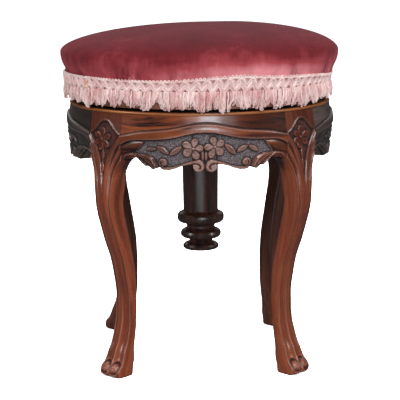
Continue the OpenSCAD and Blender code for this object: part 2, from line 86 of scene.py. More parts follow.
def through(rows, at):
    """Values at a place along a table: its first column is the place, the others are smooth."""
    rows = np.array(rows, float)
    x = rows[:, 0]
    step = np.diff(x)[:, None]
    secant = np.diff(rows[:, 1:], axis=0) / step
    slope = np.zeros_like(rows[:, 1:])
    both = secant[1:] * secant[:-1]
    total = secant[1:] + secant[:-1]
    slope[1:-1] = np.where(both > 0, 2 * both / np.where(total == 0, 1, total), 0)
    slope[0], slope[-1] = secant[0], secant[-1]
    at = np.asarray(at, float)
    i = np.clip(np.searchsorted(x, at) - 1, 0, len(x) - 2)
    h = step[i]
    t = np.clip((at - x[i]) / h[..., 0], 0, 1)[..., None]
    a, b = rows[i, 1:], rows[i + 1, 1:]
    value = (a * (1 + 2 * t) * (1 - t) ** 2 + b * t * t * (3 - 2 * t)
             + slope[i] * h * t * (1 - t) ** 2 - slope[i + 1] * h * t * t * (1 - t))
    return value[..., 0] if value.shape[-1] == 1 else value


def nearest(path, x, y):
    """Distance of points from a path of straight pieces, their side and the share of its length."""
    best = np.full(np.broadcast(x, y).shape, np.inf)
    side, share = np.zeros_like(best), np.zeros_like(best)
    sizes = [math.dist(a, b) for a, b in zip(path[:-1], path[1:])]
    done = 0.0
    for (ax, ay), (bx, by), size in zip(path[:-1], path[1:], sizes):
        dx, dy = bx - ax, by - ay
        t = np.clip(((x - ax) * dx + (y - ay) * dy) / size ** 2, 0, 1)
        d = np.hypot(x - ax - t * dx, y - ay - t * dy)
        nearer = d < best
        best = np.where(nearer, d, best)
        side = np.where(nearer, np.sign((x - ax) * dy - (y - ay) * dx), side)
        share = np.where(nearer, (done + t * size) / sum(sizes), share)
        done += size
    return best, side, share


def within(path, x, y):
    """True for points inside a closed path."""
    inside = np.zeros(np.broadcast(x, y).shape, bool)
    for (ax, ay), (bx, by) in zip(path, path[1:] + path[:1]):
        if ay == by:
            continue
        crosses = (ay > y) != (by > y)
        inside ^= crosses & (x < (bx - ax) * (y - ay) / (by - ay) + ax)
    return inside


def softened(values, rounds):
    """Values blurred over their grid, down and then across in each round."""
    for _ in range(rounds * 2):
        padded = np.pad(values, ((1, 1), (0, 0)), "edge")
        values = ((padded[:-2] + padded[2:] + 2 * values) / 4).T
    return values


def circle(count, start=-math.pi):
    """Angles evenly all the way round."""
    return np.linspace(start, start + 2 * math.pi, count, endpoint=False)


def dome(q, height):
    """Half round over q, its distance from the middle as a share of its half width."""
    return height * np.sqrt(np.clip(1 - q * q, 0, 1))


# Meshes

def grid_faces(rows, cols, wrap_rows=False):
    """Faces of rings of points, one ring to a row."""
    r = np.arange(rows if wrap_rows else rows - 1)
    r, c = np.meshgrid(r, np.arange(cols), indexing="ij")
    first, second = r * cols, (r + 1) % rows * cols
    after = (c + 1) % cols
    faces = np.stack([first + c, first + after, second + after, second + c], -1)
    return faces.reshape(-1, 4).tolist()


def capped_faces(rows, cols):
    """Faces of rings of points with a cap on the first and the last."""
    last = (rows - 1) * cols
    return grid_faces(rows, cols) + [list(range(cols))[::-1], list(range(last, last + cols))]


def add_object(name, data):
    obj = bpy.data.objects.new(name, data)
    bpy.context.collection.objects.link(obj)
    return obj


def make_object(name, points, faces, body, material, layers=None, sharp=40):
    """A piece of the stool; each layer holds one value, or the grain's place, for each point."""
    mesh = bpy.data.meshes.new(name)
    mesh.from_pydata((points.reshape(-1, 3) * MM).tolist(), [], faces)
    for key, values in (layers or {}).items():
        kind, field = ("FLOAT_VECTOR", "vector") if key == "grain" else ("FLOAT", "value")
        mesh.attributes.new(key, kind, "POINT").data.foreach_set(field, values.ravel())
    mesh.materials.append(material)
    mesh.shade_smooth()
    mesh.set_sharp_from_angle(angle=math.radians(sharp))
    obj = add_object(name, mesh)
    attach(obj, body)
    return obj


def turned(points, degrees):
    a = math.radians(degrees)
    turn = np.array([[math.cos(a), -math.sin(a), 0], [math.sin(a), math.cos(a), 0], [0, 0, 1]])
    return points @ turn.T


# Shader nodes

class Wire:
    """A shader socket; its sums, differences and products are maths nodes."""

    def __init__(self, shader, socket):
        self.shader, self.socket = shader, socket

    def __add__(self, other):
        return self.shader.maths("ADD", self, other)

    def __sub__(self, other):
        return self.shader.maths("SUBTRACT", self, other)

    def __rsub__(self, other):
        return self.shader.maths("SUBTRACT", other, self)

    def __mul__(self, other):
        return self.shader.maths("MULTIPLY", self, other)

    __radd__ = __add__


class Shader:
    """Builds the nodes of a material or a world."""

    def __init__(self, owner):
        owner.use_nodes = True
        self.tree = owner.node_tree
        self.tree.nodes.clear()

    def node(self, kind, inputs=None, **settings):
        node = self.tree.nodes.new(kind)
        for key, value in settings.items():
            setattr(node, key, value)
        for key, value in (inputs or {}).items():
            if isinstance(value, Wire):
                self.tree.links.new(value.socket, node.inputs[key])
            else:
                node.inputs[key].default_value = value
        return node

    def put(self, kind, inputs=None, output=0, **settings):
        return Wire(self, self.node(kind, inputs, **settings).outputs[output])

    def maths(self, operation, *values):
        return self.put("ShaderNodeMath", dict(enumerate(values)), operation=operation)

    def blend(self, share, first, second, mode="MIX"):
        return self.put("ShaderNodeMix", {0: share, 6: first, 7: second}, 2,
                        data_type="RGBA", blend_type=mode)

    def ramp(self, value, *stops):
        """Colours by a value: stops are (place, colour)."""
        node = self.node("ShaderNodeValToRGB", {"Fac": value})
        band = node.color_ramp
        while len(band.elements) < len(stops):
            band.elements.new(0.5)
        for element, (place, colour) in zip(band.elements, stops):
            element.position = place
            element.color = colour
        return Wire(self, node.outputs["Color"])

    def span(self, value, low, high, out_low=0.0, out_high=1.0):
        return self.put("ShaderNodeMapRange", {"Value": value, "From Min": low, "From Max": high,
                        "To Min": out_low, "To Max": out_high}, interpolation_type="SMOOTHSTEP")

    def noise(self, place, scale, detail=3.0, rough=0.5, distortion=0.0):
        """Noise at one scale, or at one for each axis."""
        if isinstance(scale, tuple):
            place, scale = self.put("ShaderNodeMapping", {"Vector": place, "Scale": scale}), 1.0
        return self.put("ShaderNodeTexNoise", {"Vector": place, "Scale": scale, "Detail": detail,
                        "Roughness": rough, "Distortion": distortion}, "Fac")

    def cells(self, place, scale):
        return self.put("ShaderNodeTexVoronoi", {"Vector": place, "Scale": scale}, "Distance")

    def layer(self, name, output="Fac"):
        return self.put("ShaderNodeAttribute", None, output, attribute_name=name)

    def at_rest(self):
        return self.put("ShaderNodeTexCoord", output="Object")

    def axes(self, vector):
        node = self.node("ShaderNodeSeparateXYZ", {"Vector": vector})
        return [Wire(self, socket) for socket in node.outputs]

    def bump(self, height, strength, distance, **under):
        return self.put("ShaderNodeBump", {"Height": height, "Strength": strength,
                                           "Distance": distance, **under})

    def ray(self, kind):
        return self.put("ShaderNodeLightPath", output=kind)

    def close(self, inputs):
        surface = self.put("ShaderNodeBsdfPrincipled", inputs)
        self.node("ShaderNodeOutputMaterial", {"Surface": surface})


def new_material(name):
    material = bpy.data.materials.new(name)
    return material, Shader(material)


def rgb(r, g, b):
    """Linear colour from screen values of 0 to 255."""
    return tuple(((v / 255 + 0.055) / 1.055) ** 2.4 if v > 10 else v / 255 / 12.92
                 for v in (r, g, b)) + (1.0,)


# Materials

def carved_wood(name, colours, rough, figure, coat):
    """Polished figured wood; grain, wear with painted highlight, dirt with painted shade, ground,
    motif and painted shade come from the mesh.

    The colours are the wood's light, mid, dark and black, the colour of worn edges and painted
    highlights, the raised ornament, and the sunk ground's dark and light."""
    light, mid, dark, black, worn_and_painted_light, motif, pit, grit = (rgb(*colour) for colour in colours)
    material, s = new_material(name)
    grain = s.layer("grain", "Vector")
    wear_and_highlight, dirt_and_shade, ground, raised, shade = (s.layer(key) for key in (
        "wear_and_highlight", "dirt_and_shade", "ground", "motif", "shade"))
    shift = s.put("ShaderNodeCombineXYZ", {"X": s.noise(grain, (30, 30, 6), 2.0) * 0.03})
    bent = s.put("ShaderNodeVectorMath", {0: grain, 1: shift}, operation="ADD")
    broad = s.noise(bent, (70, 70, 7), 4.0, 0.6, 0.4)
    fine = s.noise(bent, (420, 420, 24), 5.0, 0.7, 0.2)
    pores = s.noise(bent, (1900, 1900, 160), 2.0, 0.6)
    patches = s.noise(grain, (26, 26, 9), 3.0, 0.6)
    body = s.ramp(broad, (0.3, dark), (0.46, mid), (0.62, light))
    body = s.blend(s.span(fine * 0.4 + broad * 0.6, 0.40, 0.50, 1.0, 0.0) * figure, body, black)
    body = s.blend(s.span(patches, 0.45, 0.7, 0.0, 0.5), body, mid)
    body = s.blend(s.span(pores, 0.35, 0.5, 0.25, 0.0), body, black)
    body = s.blend(raised * 0.85, body, motif)
    # Wear and painted highlight lighten the wood towards the worn colour.
    body = s.blend(wear_and_highlight * 0.5, body, worn_and_painted_light)
    # Painted shade: the mesh's shade layer darkens the wood where it stands in shade.
    body = s.blend(shade, body, (0.3, 0.27, 0.28, 1), "MULTIPLY")
    speck = s.blend(s.span(s.noise(grain, 1100.0, 2.0, 0.6), 0.42, 0.66), pit, grit)
    body = s.blend(ground * 0.95, body, speck)
    # Dirt and painted shade darken the hollows towards black.
    body = s.blend(dirt_and_shade * 0.85, body, black)
    normal = s.bump(fine, 0.1, 0.0005)
    normal = s.bump(s.cells(grain, 620.0) * ground, 1.0, 0.0016, Normal=normal)
    s.close({"Base Color": body, "Normal": normal,
             "Roughness": rough + fine * 0.12 + dirt_and_shade * 0.25 + ground * 0.35 - raised * 0.08,
             "Specular IOR Level": 0.42, "Coat Weight": (1.0 - ground) * coat, "Coat Roughness": 0.2})
    return material


def ring_place(s):
    """Place on a turned piece: along its circle, its radius and its height."""
    x, y, z = s.axes(s.at_rest())
    angle = s.maths("ARCTAN2", x, y * -1.0)
    radius = s.maths("SQRT", x * x + y * y)
    return s.put("ShaderNodeCombineXYZ", {"X": angle * 0.18, "Y": radius, "Z": z})


def plain_wood(name, light, dark, place_of, scale, rough, contrast=(0.35, 0.65), coat=0.0):
    """Wood of the plain pieces: streaks along the given scale's smallest direction."""
    material, s = new_material(name)
    place = place_of(s)
    broad = s.noise(place, scale, 4.0, 0.6, 0.3)
    fine = s.noise(place, tuple(v * 6 for v in scale), 4.0, 0.7, 0.2)
    colour = s.ramp(broad * 0.6 + fine * 0.4, (contrast[0], rgb(*dark)), (contrast[1], rgb(*light)))
    s.close({"Base Color": colour, "Roughness": rough + fine * 0.15,
             "Normal": s.bump(fine, 0.15, 0.0005), "Coat Weight": coat, "Coat Roughness": 0.2})
    return material


def metal(name, colour, rust, rough, metallic):
    """Old metal with patches of grime."""
    material, s = new_material(name)
    patches = s.noise(s.at_rest(), 60.0, 5.0, 0.65)
    grit = s.noise(s.at_rest(), 900.0, 3.0, 0.6)
    body = s.blend(s.span(patches, 0.45, 0.65, 0.0, 0.8), rgb(*colour), rgb(*rust))
    s.close({"Base Color": body, "Roughness": rough + patches * 0.25, "Metallic": metallic,
             "Normal": s.bump(grit, 0.25, 0.0004)})
    return material


def leather():
    material, s = new_material("Leather")
    tone = s.noise(s.at_rest(), 120.0, 4.0)
    s.close({"Base Color": s.ramp(tone, (0.3, rgb(60, 34, 20)), (0.7, rgb(112, 72, 44))),
             "Roughness": 0.62, "Normal": s.bump(s.cells(s.at_rest(), 900.0), 0.4, 0.0004)})
    return material


def stuffing():
    material, s = new_material("Wadding")
    tufts = s.noise(s.at_rest(), 350.0, 6.0, 0.7)
    s.close({"Base Color": s.ramp(tufts, (0.3, rgb(176, 160, 130)), (0.7, rgb(226, 214, 190))),
             "Roughness": 0.95, "Normal": s.bump(tufts, 0.7, 0.002)})
    return material


def velvet():
    """Short pile in deep wine with random patches, a painted pink sheen low on the side, strongest at
    the front right, a painted darker top and painted shade in the creases.
    """
    material, s = new_material("Velvet")
    place = s.at_rest()
    height = s.axes(place)[2]
    clouds = s.noise(place, (14, 14, 22.4), 5.0, 0.62, 0.5)
    strokes = s.noise(place, (70, 70, 24.5), 4.0, 0.65, 0.3)
    pile = s.noise(place, 2200.0, 2.0, 0.6)
    # The mesh's painted sheen, with random cloudy and streaky patches, lifts the pile from deep wine to
    # pink.
    lift = s.layer("painted_sheen") + (clouds - 0.5) * 0.55 + (strokes - 0.5) * 0.35
    colour = s.ramp(lift, (0.0, rgb(76, 24, 28)), (0.28, rgb(114, 36, 41)),
                    (0.56, rgb(168, 70, 76)), (1.0, rgb(236, 148, 152)))
    # Painted shade: the cushion's top is darker.
    colour = s.blend(s.span(height, 0.44, 0.472, 0.0, 0.5), colour, rgb(70, 30, 34))
    # Painted shade in the creases.
    colour = s.blend(s.layer("crease") * 0.5, colour, rgb(70, 18, 28))
    colour = s.blend(s.span(pile, 0.62, 0.75, 0.0, 0.12), colour, rgb(220, 150, 160))
    s.close({"Base Color": colour, "Roughness": 0.9, "Sheen Weight": 0.22, "Sheen Roughness": 0.4,
             "Sheen Tint": rgb(220, 140, 150), "Specular IOR Level": 0.1,
             "Normal": s.bump(pile, 0.35, 0.0006)})
    return material


def yarn(name, pale, deep):
    """Twisted pink yarn with a grey cast, a little faded."""
    material, s = new_material(name)
    tone = s.noise(s.at_rest(), 45.0, 3.0)
    fibre = s.noise(s.at_rest(), 1500.0, 3.0, 0.7)
    mixed = tone * 0.65 + fibre * 0.35 + s.layer("tint")
    s.close({"Base Color": s.ramp(mixed, (0.3, rgb(*deep)), (0.64, rgb(*pale))),
             "Roughness": 0.8, "Sheen Weight": 0.3, "Sheen Roughness": 0.5,
             "Specular IOR Level": 0.25, "Normal": s.bump(fibre, 0.5, 0.0005)})
    return material


ROSEWOOD_LEG = carved_wood("Rosewood_leg", [
    (160, 84, 50), (138, 65, 40), (108, 48, 30), (30, 12, 9), (196, 122, 94), (124, 56, 36),
    (66, 29, 21), (112, 58, 44)], 0.2, 0.14, 0.5)
ROSEWOOD = carved_wood("Rosewood", [
    (146, 72, 32), (96, 44, 26), (54, 26, 19), (14, 8, 8), (162, 118, 104), (122, 88, 80),
    (62, 53, 54), (162, 150, 152)], 0.18, 0.95, 0.6)
# A darker, greyer copy of the apron wood for the side and back aprons: painted shade and a painted grey
# sheen.
ROSEWOOD_SIDE_SHADED = carved_wood("Rosewood_side_shaded", [
    (98, 80, 72), (78, 66, 62), (58, 50, 49), (16, 14, 14), (124, 108, 100), (84, 70, 64),
    (34, 31, 31), (90, 86, 86)], 0.26, 0.4, 0.3)
# A darker copy of the leg wood for the back legs: painted shade.
ROSEWOOD_BACK_SHADED = carved_wood("Rosewood_back_shaded", [
    (136, 80, 55), (112, 63, 44), (82, 45, 33), (14, 8, 7), (120, 80, 62), (96, 58, 46),
    (34, 24, 21), (84, 62, 54)], 0.34, 0.3, 0.08)
VELVET = velvet()
YARN = yarn("Trimming_yarn", (252, 230, 224), (214, 158, 154))
YARN_PINK = yarn("Trimming_pink", (244, 196, 194), (206, 138, 140))
# A darker copy of the trimming yarn for the braid's backing: painted shade behind and between the cords.
YARN_BACK_SHADED = yarn("Trimming_back_shaded", (216, 166, 158), (172, 118, 112))
YARN_END = yarn("Trimming_end", (236, 186, 150), (196, 118, 84))


# Carved legs

# Height, outer line, inner line, outer half width, inner half width
LEG_ROWS = [
    (0, 184.5, 157, 18.2, 17.4), (3, 187, 156, 19.2, 18.4), (7, 187.6, 155.6, 19.4, 18.4),
    (12, 185.2, 154.2, 19.2, 17.8), (22, 177.6, 150, 17.6, 15.8), (33, 172.8, 148.4, 16.4, 14.2),
    (44, 167.4, 146, 15.7, 13), (55, 163.8, 144.2, 15.1, 12.8), (71, 159.7, 141.7, 14.2, 12.4),
    (88, 158.4, 140.7, 13.3, 12), (110, 158.6, 139.9, 12.8, 11.8), (139, 163, 140.8, 12.6, 11.2),
    (162, 168.3, 144.5, 12.8, 11), (185, 176.8, 149.7, 13, 10.8), (208, 184.2, 155.2, 13, 11),
    (226, 189.4, 160, 13.2, 11.6), (243, 191.9, 162.3, 13.9, 12.4), (263, 191.7, 159.5, 16, 13.8),
    (281, 189.8, 158, 19, 15), (294, 188.8, 154, 24.2, 19), (299, 188.4, 151, 27.4, 22.5),
    (301.5, 188.2, 149.5, 29, 24), (310, 187.8, 141, 29, 29), (320, 187.3, 140, 29, 29),
    (333, 186.4, 140, 29, 29), (343, 185, 140, 29, 29), (351, 183.5, 140, 29, 29),
    (362, 181.7, 140, 29, 29)]
# Height and how fast the outer face falls off sideways
CROWN_ROWS = [
    (0, 0.008), (150, 0.008), (200, 0.005), (240, 0.004), (281, 0.0045), (300, 0.005), (305, 0.0048),
    (310, 0.0045), (320, 0.003), (333, 0.0029), (362, 0.0028)]
# Lines of the knee's carving: height and distance from the leg's middle
LOZENGE_FOOT = [
    (256, 0), (268, 1.5), (281, 3.5), (295, 6), (305, 9.5), (314, 13.8), (324.5, 20.5), (333.3, 28.5),
    (337, 33)]
FIRST_ROLL = [
    (240, 2.2), (257, 3.2), (275, 5.5), (288, 8), (300.6, 13.5), (314, 19.5), (324.2, 26), (329, 29.5),
    (337, 36)]
FIRST_GROOVE = [
    (240, 5.2), (255, 6.5), (275, 9), (295, 14.5), (307, 19), (315.4, 23.5), (322, 29), (337, 40)]
SECOND_ROLL = [
    (240, 7), (255, 8), (273, 10), (289, 14), (302.5, 20), (312.5, 27), (315.4, 29.5), (337, 44)]
DEEP_GROOVE = [
    (236, 9.5), (250, 11), (262, 12.5), (278, 14.5), (291, 18.5), (302, 25), (310, 29.5), (337, 48)]
LOZENGE_HEAD = [
    (0, 353), (5.5, 352), (10.5, 348.6), (16.5, 343), (21.5, 338.4), (26, 335.4), (29, 334.6)]
KNEE_GROUND = -2.1
KNEE_FLOWER = (-3.5, 327.3)
KNEE_PETALS = [
    (-3, 338.6, 4.4), (-12.6, 332.8, 4.3), (-13.2, 322.8, 4.3), (-6, 316.4, 4.5), (5.3, 320.2, 4.5),
    (7.8, 331.4, 4.4)]
LEG_STEP = 1.0
FACE_COLS = 96
SIDE_COLS = 14
INNER_COLS = 8
# Rounds of blurring that find the broad and the fine hollows
BROAD_REACH, FINE_REACH = 14, 4
# Each leg and the way it stands round the stool
LEGS = (("leg_front_left", 225), ("leg_front_right", 315),
        ("leg_back_right", 45), ("leg_back_left", 135))


def between(v, low, high, low_h, high_h):
    """Height from a groove at low to a crest at high, round at the crest."""
    t = np.clip((v - low) / np.maximum(high - low, 0.05), 0, 1)
    return low_h + (high_h - low_h) * np.sin(t * math.pi / 2)


def rolls(v, places, heights):
    """Relief across lines that are groove, crest, groove and so on."""
    relief = np.broadcast_to(heights[0], v.shape).copy()
    for k, (a, b, ha, hb) in enumerate(zip(places, places[1:], heights, heights[1:])):
        piece = between(-v, -b, -a, hb, ha) if k % 2 else between(v, a, b, ha, hb)
        relief = np.where(v >= a, piece, relief)
    return relief


def flower(x, y, centre, petals, height, under):
    """Relief of a flower: petals that widen and rise outward, slightly cupped, round a boss."""
    cx, cy = centre
    relief = np.full(np.broadcast(x, y).shape, under)
    for px, py, size in petals:
        reach = math.hypot(px - cx, py - cy)
        ux, uy = (px - cx) / reach, (py - cy) / reach
        along = ((x - cx) * ux + (y - cy) * uy) / (reach + size)
        across = (y - cy) * ux - (x - cx) * uy
        bulge = np.sin(np.clip(along, 0, 1) ** 1.6 * math.pi)
        q = np.abs(across) / (size * np.clip(bulge, 0, 1) ** 0.6 + 1e-6)
        rim = np.sqrt(np.clip(1 - q ** 4, 0, 1)) - 0.3 * np.clip(1 - q ** 2, 0, 1) * bulge
        lift = under + height * rim * (0.5 + 0.5 * along)
        relief = np.where((q < 1) & (along > 0) & (along < 1), np.maximum(relief, lift), relief)
    q = np.hypot(x - cx, y - cy) / 2.1
    return np.where(q < 1, np.maximum(relief, under + height * 0.55 + dome(q, height * 0.45)), relief)


def leaf(x, y, start, end, half, height, under, groove):
    """Relief of a lens-shaped leaf with a midrib."""
    dx, dy = end[0] - start[0], end[1] - start[1]
    size = math.hypot(dx, dy)
    t = ((x - start[0]) * dx + (y - start[1]) * dy) / size ** 2
    across = np.abs((x - start[0]) * dy - (y - start[1]) * dx) / size
    width = half * np.power(np.clip(np.sin(np.clip(t, 0, 1) * math.pi), 0, 1), 0.7) + 1e-6
    q = across / width
    shape = under + dome(q, height) - groove * bell(across, 0.55) * (q < 1)
    return np.where((t > 0) & (t < 1) & (q < 1), shape, under)


def lower_relief(v, z, edge):
    """Relief of a leg below its knee: a thin ridge down the middle between two hollows."""
    depth = through([(0, 1.6), (20, 2.3), (60, 2.2), (100, 1.5), (150, 0.7), (200, 0.4), (262, 0.3)], z)
    line_h = through([(0, 0.2), (60, 0.5), (110, 0.2), (180, 0), (262, 0)], z)
    groove_h = through([(0, 0), (20, 0.3), (60, 0.6), (110, 1.0), (262, 1.1)], z)
    t = np.clip((v - 1.2) / np.maximum(edge - 2.4, 0.5), 0, 1)
    hollow = -depth * np.power(np.sin(t * math.pi), 0.8)
    arris = 0.4 * bell(v - edge + 0.7, 0.6) - 1.3 * groove_h * bell(v - edge + 2.1, 0.95)
    return hollow + line_h * bell(v, 0.9) + arris


def volute_relief(v, z, under):
    """Relief of the pair of small scrolls on a foot."""
    d = np.hypot(v - 8.2, z - 12.5)
    ball = dome(d / 5.9, 3.4) - 0.6
    trough = -2.2 * bell(d - 7.2, 1.2) * smooth(z, 8, 15)
    curl = 0.9 * bell(d - 9.6, 1.1) * (z < 16)
    pads = 1.3 * bell(z - 3.2, 2.6) * bell(v - 9.5, 7)
    split = -1.4 * bell(v, 1.2) * (1 - smooth(z, 8, 20))
    relief = under * smooth(z, 8, 24) + trough + curl + pads + split
    coil = -0.8 * bell(np.hypot(v - 8.8, z - 11.5) - 2.6, 0.7)
    return np.where(d < 5.9, np.maximum(relief, ball + coil), relief)


def knee_relief(v, z, signed):
    """Relief of a leg's knee: a framed flower and the rolls that run down beside it."""
    foot, first, groove, second, deep = (through(rows, z) for rows in (
        LOZENGE_FOOT, FIRST_ROLL, FIRST_GROOVE, SECOND_ROLL, DEEP_GROOVE))
    first_h = through([(240, 0.5), (290, 1.4), (320, BAND_PROUD), (340, BAND_PROUD)], z)
    second_h = through([(240, 0.4), (290, 1.6), (310, 1.4), (340, 1.2)], z)
    deep_h = through([(236, -0.6), (262, -1.6), (295, -2.6), (310, -2.2), (340, -2)], z)
    edge = np.maximum(deep + 3.2, 13)
    relief = rolls(v, [foot, first, groove, second, deep, edge],
                   [first_h * 0.1 - 0.2, first_h, -0.6, second_h, deep_h, 0.2])
    outline = LOZENGE_HEAD + [(r, h) for h, r in LOZENGE_FOOT[-3::-1]]
    ring = outline + [(-a, b) for a, b in outline[-2:0:-1]]
    inside = within(ring, v, z)
    d = nearest(outline, v, z)[0]
    head_d = nearest(LOZENGE_HEAD, v, z)[0]
    above = (v > foot) & (z > through(LOZENGE_HEAD + [(40, 334.6)], v))
    relief = np.where(above, -0.7 * bell(head_d - 1.2, 1.0), relief)
    sunk = KNEE_GROUND * smooth(d, 0.3, 3.0)
    stem = dome(np.abs(signed + 1.5) / 0.9, 1.4) * ((z < 318) & (z > 266)) + KNEE_GROUND
    motif = np.maximum.reduce([flower(signed, z, KNEE_FLOWER, KNEE_PETALS, 3.0, KNEE_GROUND), stem] + [
        leaf(signed, z, (-1.5, low), (-1.5, high), 2.7, 2.2, KNEE_GROUND, 0.5)
        for low, high in ((300, 313), (283, 297))])
    relief = np.where(inside, np.maximum(sunk, np.where(d > 0.9, motif, -9)), relief)
    relief = relief + 0.9 * bell(d, 0.8) * (z < 354)
    # The pale line along the lozenge's head is partly painted highlight and partly dust.
    return relief, {"ground": inside & (motif < -1.9) & (d > 1.4), "veneer": above,
                    "motif": inside & (motif > -1.5) & (d > 1.2),
                    "painted_light_and_wear": 0.2 * bell(head_d, 0.7) * (z > 330)}


def leg_points():
    """Rings of a leg along +X, with relief on its outer face."""
    z = np.concatenate([[0, 0.6, 1.4], np.arange(2.4, PART_TOP, LEG_STEP), [PART_TOP]])[:, None]
    out, inner, half, half_in = np.split(through(LEG_ROWS, z[:, 0]), 4, 1)
    half = half - JOINT_GAP * (z > 300)
    corner = through([(0, 2.2), (40, 1.2), (80, 1.0), (130, 1.2), (285, 1.2), (300, 0.5), (362, 0.3)], z)
    v = np.linspace(-1, 1, FACE_COLS + 1) * half
    side = np.abs(v)
    low = lower_relief(side, z, half)
    low = np.where(z < 30, volute_relief(side, z, low), low)
    high, marks = knee_relief(side, z, v)
    # Pale lines along the lower leg's middle ridge and edges are partly painted highlight and partly
    # wear; a painted shade line runs in the groove beside each edge.
    foot = 1 - smooth(z, 60, 125)
    lit = foot * (0.8 * bell(side - 0.4, 1.0) + bell(side - half + 0.9, 0.9))
    shaded = bell(side - half + 2.4, 1.0) * smooth(z, 20, 120) * (1 - smooth(z, 232, 262))
    marks["painted_light_and_wear"] = marks["painted_light_and_wear"] + lit - shaded
    relief = (low + (high - low) * smooth(z, 236, 258)) * smooth(z, -1, 3)
    near = np.clip(side - (half - corner), 0, corner)
    lost = corner - np.sqrt(np.maximum(corner ** 2 - near ** 2, 0)) + 1.2 * (1 - smooth(z, 0, 2.5)) ** 2
    flush = np.sqrt((FRIEZE_R + through(SWELL, z)) ** 2 - v ** 2)
    block = smooth(z, 343, 352)
    face = (out - through(CROWN_ROWS, z) * v ** 2) * (1 - block) + flush * block + relief - lost
    stepped = z > BOARD_UNDER
    step_r = REBATE_R + 0.3
    inner = np.where(stepped, step_r, inner)
    share = np.linspace(0, 1, SIDE_COLS + 2)[1:-1]
    width = half + (half_in - half) * np.where(z > 300, share, smooth(share, 0.45, 1.0))
    right, left = (start + (inner + 1.5 - start) * share for start in (face[:, -1:], face[:, :1]))
    q = np.linspace(1, -1, INNER_COLS + 1)
    back = q * (half_in - 1.0)
    hollow = np.where(stepped, np.sqrt(np.maximum(step_r ** 2 - back ** 2, 0)) - step_r, 0)
    x = np.concatenate([face, right, inner + 1.5 * q ** 6 + hollow, left[:, ::-1]], 1)
    y = np.concatenate([v, width, back, -width[:, ::-1]], 1)
    return np.stack([x, y, np.broadcast_to(z, x.shape)], -1), relief, marks, out


def carved_layers(relief, cols, grain, marks):
    """Wear and painted highlight on the high places, dirt and painted shade in the low ones,
    for a grid whose first columns are carved.
    """
    rows = relief.shape[0]
    hollow = relief - softened(relief, BROAD_REACH)
    fine = relief - softened(relief, FINE_REACH)
    wear_and_highlight = np.clip(hollow * 0.7 + fine * 1.4 + marks["painted_light_and_wear"], 0, 1)
    dirt_and_shade = np.clip(-hollow * 0.9 - fine * 2.4 - marks["painted_light_and_wear"], 0, 1)
    layers = {"grain": grain.reshape(-1, 3) * MM}
    for key, values in (("wear_and_highlight", wear_and_highlight), ("dirt_and_shade", dirt_and_shade), ("ground", marks["ground"]),
                        ("motif", marks["motif"])):
        layers[key] = np.zeros((rows, cols))
        layers[key][:, :relief.shape[1]] = values
    return layers


def make_legs():
    points, relief, marks, out = leg_points()
    rows, cols = points.shape[:2]
    face, sides = slice(0, relief.shape[1]), slice(relief.shape[1], None)
    across, depth, level = points[..., 1], points[..., 0] - out * 0.8, points[..., 2]
    veneer = np.zeros((rows, cols, 1), bool)
    veneer[:, face, 0] = marks["veneer"]
    # Painted shadow on the leg's sides near its top, away from the outer face, under the apron's end.
    deep = smooth(level, 278, 294) * smooth(out - points[..., 0], 10, 20)
    for k, (name, turn) in enumerate(LEGS):
        grain = np.where(veneer, np.stack([level + k * 70, depth, across], -1),
                         np.stack([across + k * 90, depth, level], -1))
        layers = carved_layers(relief, cols, grain, marks)
        layers["dirt_and_shade"][:, sides] = deep[:, sides]
        # Painted shade: the front legs darken at the block under the apron and the back legs from the
        # foot upwards; every carved face is darkened a little more, the front right one most.
        low, high = (270, 325) if "front" in name else (40, 180)
        least, most = (0.3, 0.75) if name == "leg_front_right" else (0.1, 0.25)
        shade = 0.9 * smooth(level, low, high)
        darker = least + (most - least) * smooth(level, 250, 320)
        shade[:, face] = np.maximum(shade, darker)[:, face]
        obj = make_object("Carved_" + name, turned(points, turn), capped_faces(rows, cols), "base",
                          ROSEWOOD_LEG if "front" in name else ROSEWOOD_BACK_SHADED,
                          {**layers, "shade": shade})
        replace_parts(obj, name)


# Carved aprons

BAND_HEAD = [
    (0, 352.2), (11.7, 351.5), (31, 347.8), (50, 344.3), (68, 342.4), (86, 340.3), (102, 336.9),
    (113.4, 334.6), (120, 334)]
BAND_FOOT = [
    (0, 341.4), (10.5, 340.8), (23, 338.4), (36, 335), (49, 332.6), (67, 330.9), (86, 330), (98, 328.6),
    (107, 325.5), (113.4, 321.8), (120, 318)]
LOWER_EDGE = [
    (0, 299.2), (14.6, 299), (20, 299.4), (29.5, 297.1), (38.2, 293.7), (46, 291.5), (54.2, 291.6),
    (58.6, 293.1), (61.8, 295.4), (64.5, 293), (70.5, 290.9), (73, 292.4), (76, 295.4), (79, 295.6),
    (83.3, 298.4), (88.5, 303.2), (92.5, 305.6), (96.5, 308.2), (103, 308.4), (107.5, 307),
    (110.5, 304.6), (113.4, 301.5), (120, 295)]
FILLET_TOP = [
    (0, 306.6), (6.8, 306), (13, 304.6), (19, 303.2), (26, 300.9), (33, 298.2), (42, 296.1), (49, 295.4),
    (54, 295), (61, 296)]
NOTCH = [(48.4, 297.1), (51, 296.7), (53.6, 296.2), (56.6, 297.3), (58.1, 299.6), (57.2, 301.9)]
VOLUTE = (54.9, 301.1, 5.9)
SCROLL_NOTCH = [(16.5, 299.9), (12, 300.3), (8, 299), (5.9, 296.4), (6.9, 293.6)]
SCROLLS = ((7.9, 296.4, 7.2), (8.6, 298.7, 7.1))
GROUND_END = [(76, 334), (80.5, 327), (85.5, 321), (91.5, 315)]
SECOND_ON_APRON = [(82, 326.5), (90, 323.6), (98, 320.6), (106, 317.6), (113.4, 315), (120, 312)]
DEEP_ON_APRON = [(89, 315), (94, 314), (99, 312.9), (106, 311.4), (113.4, 309.6), (120, 306)]
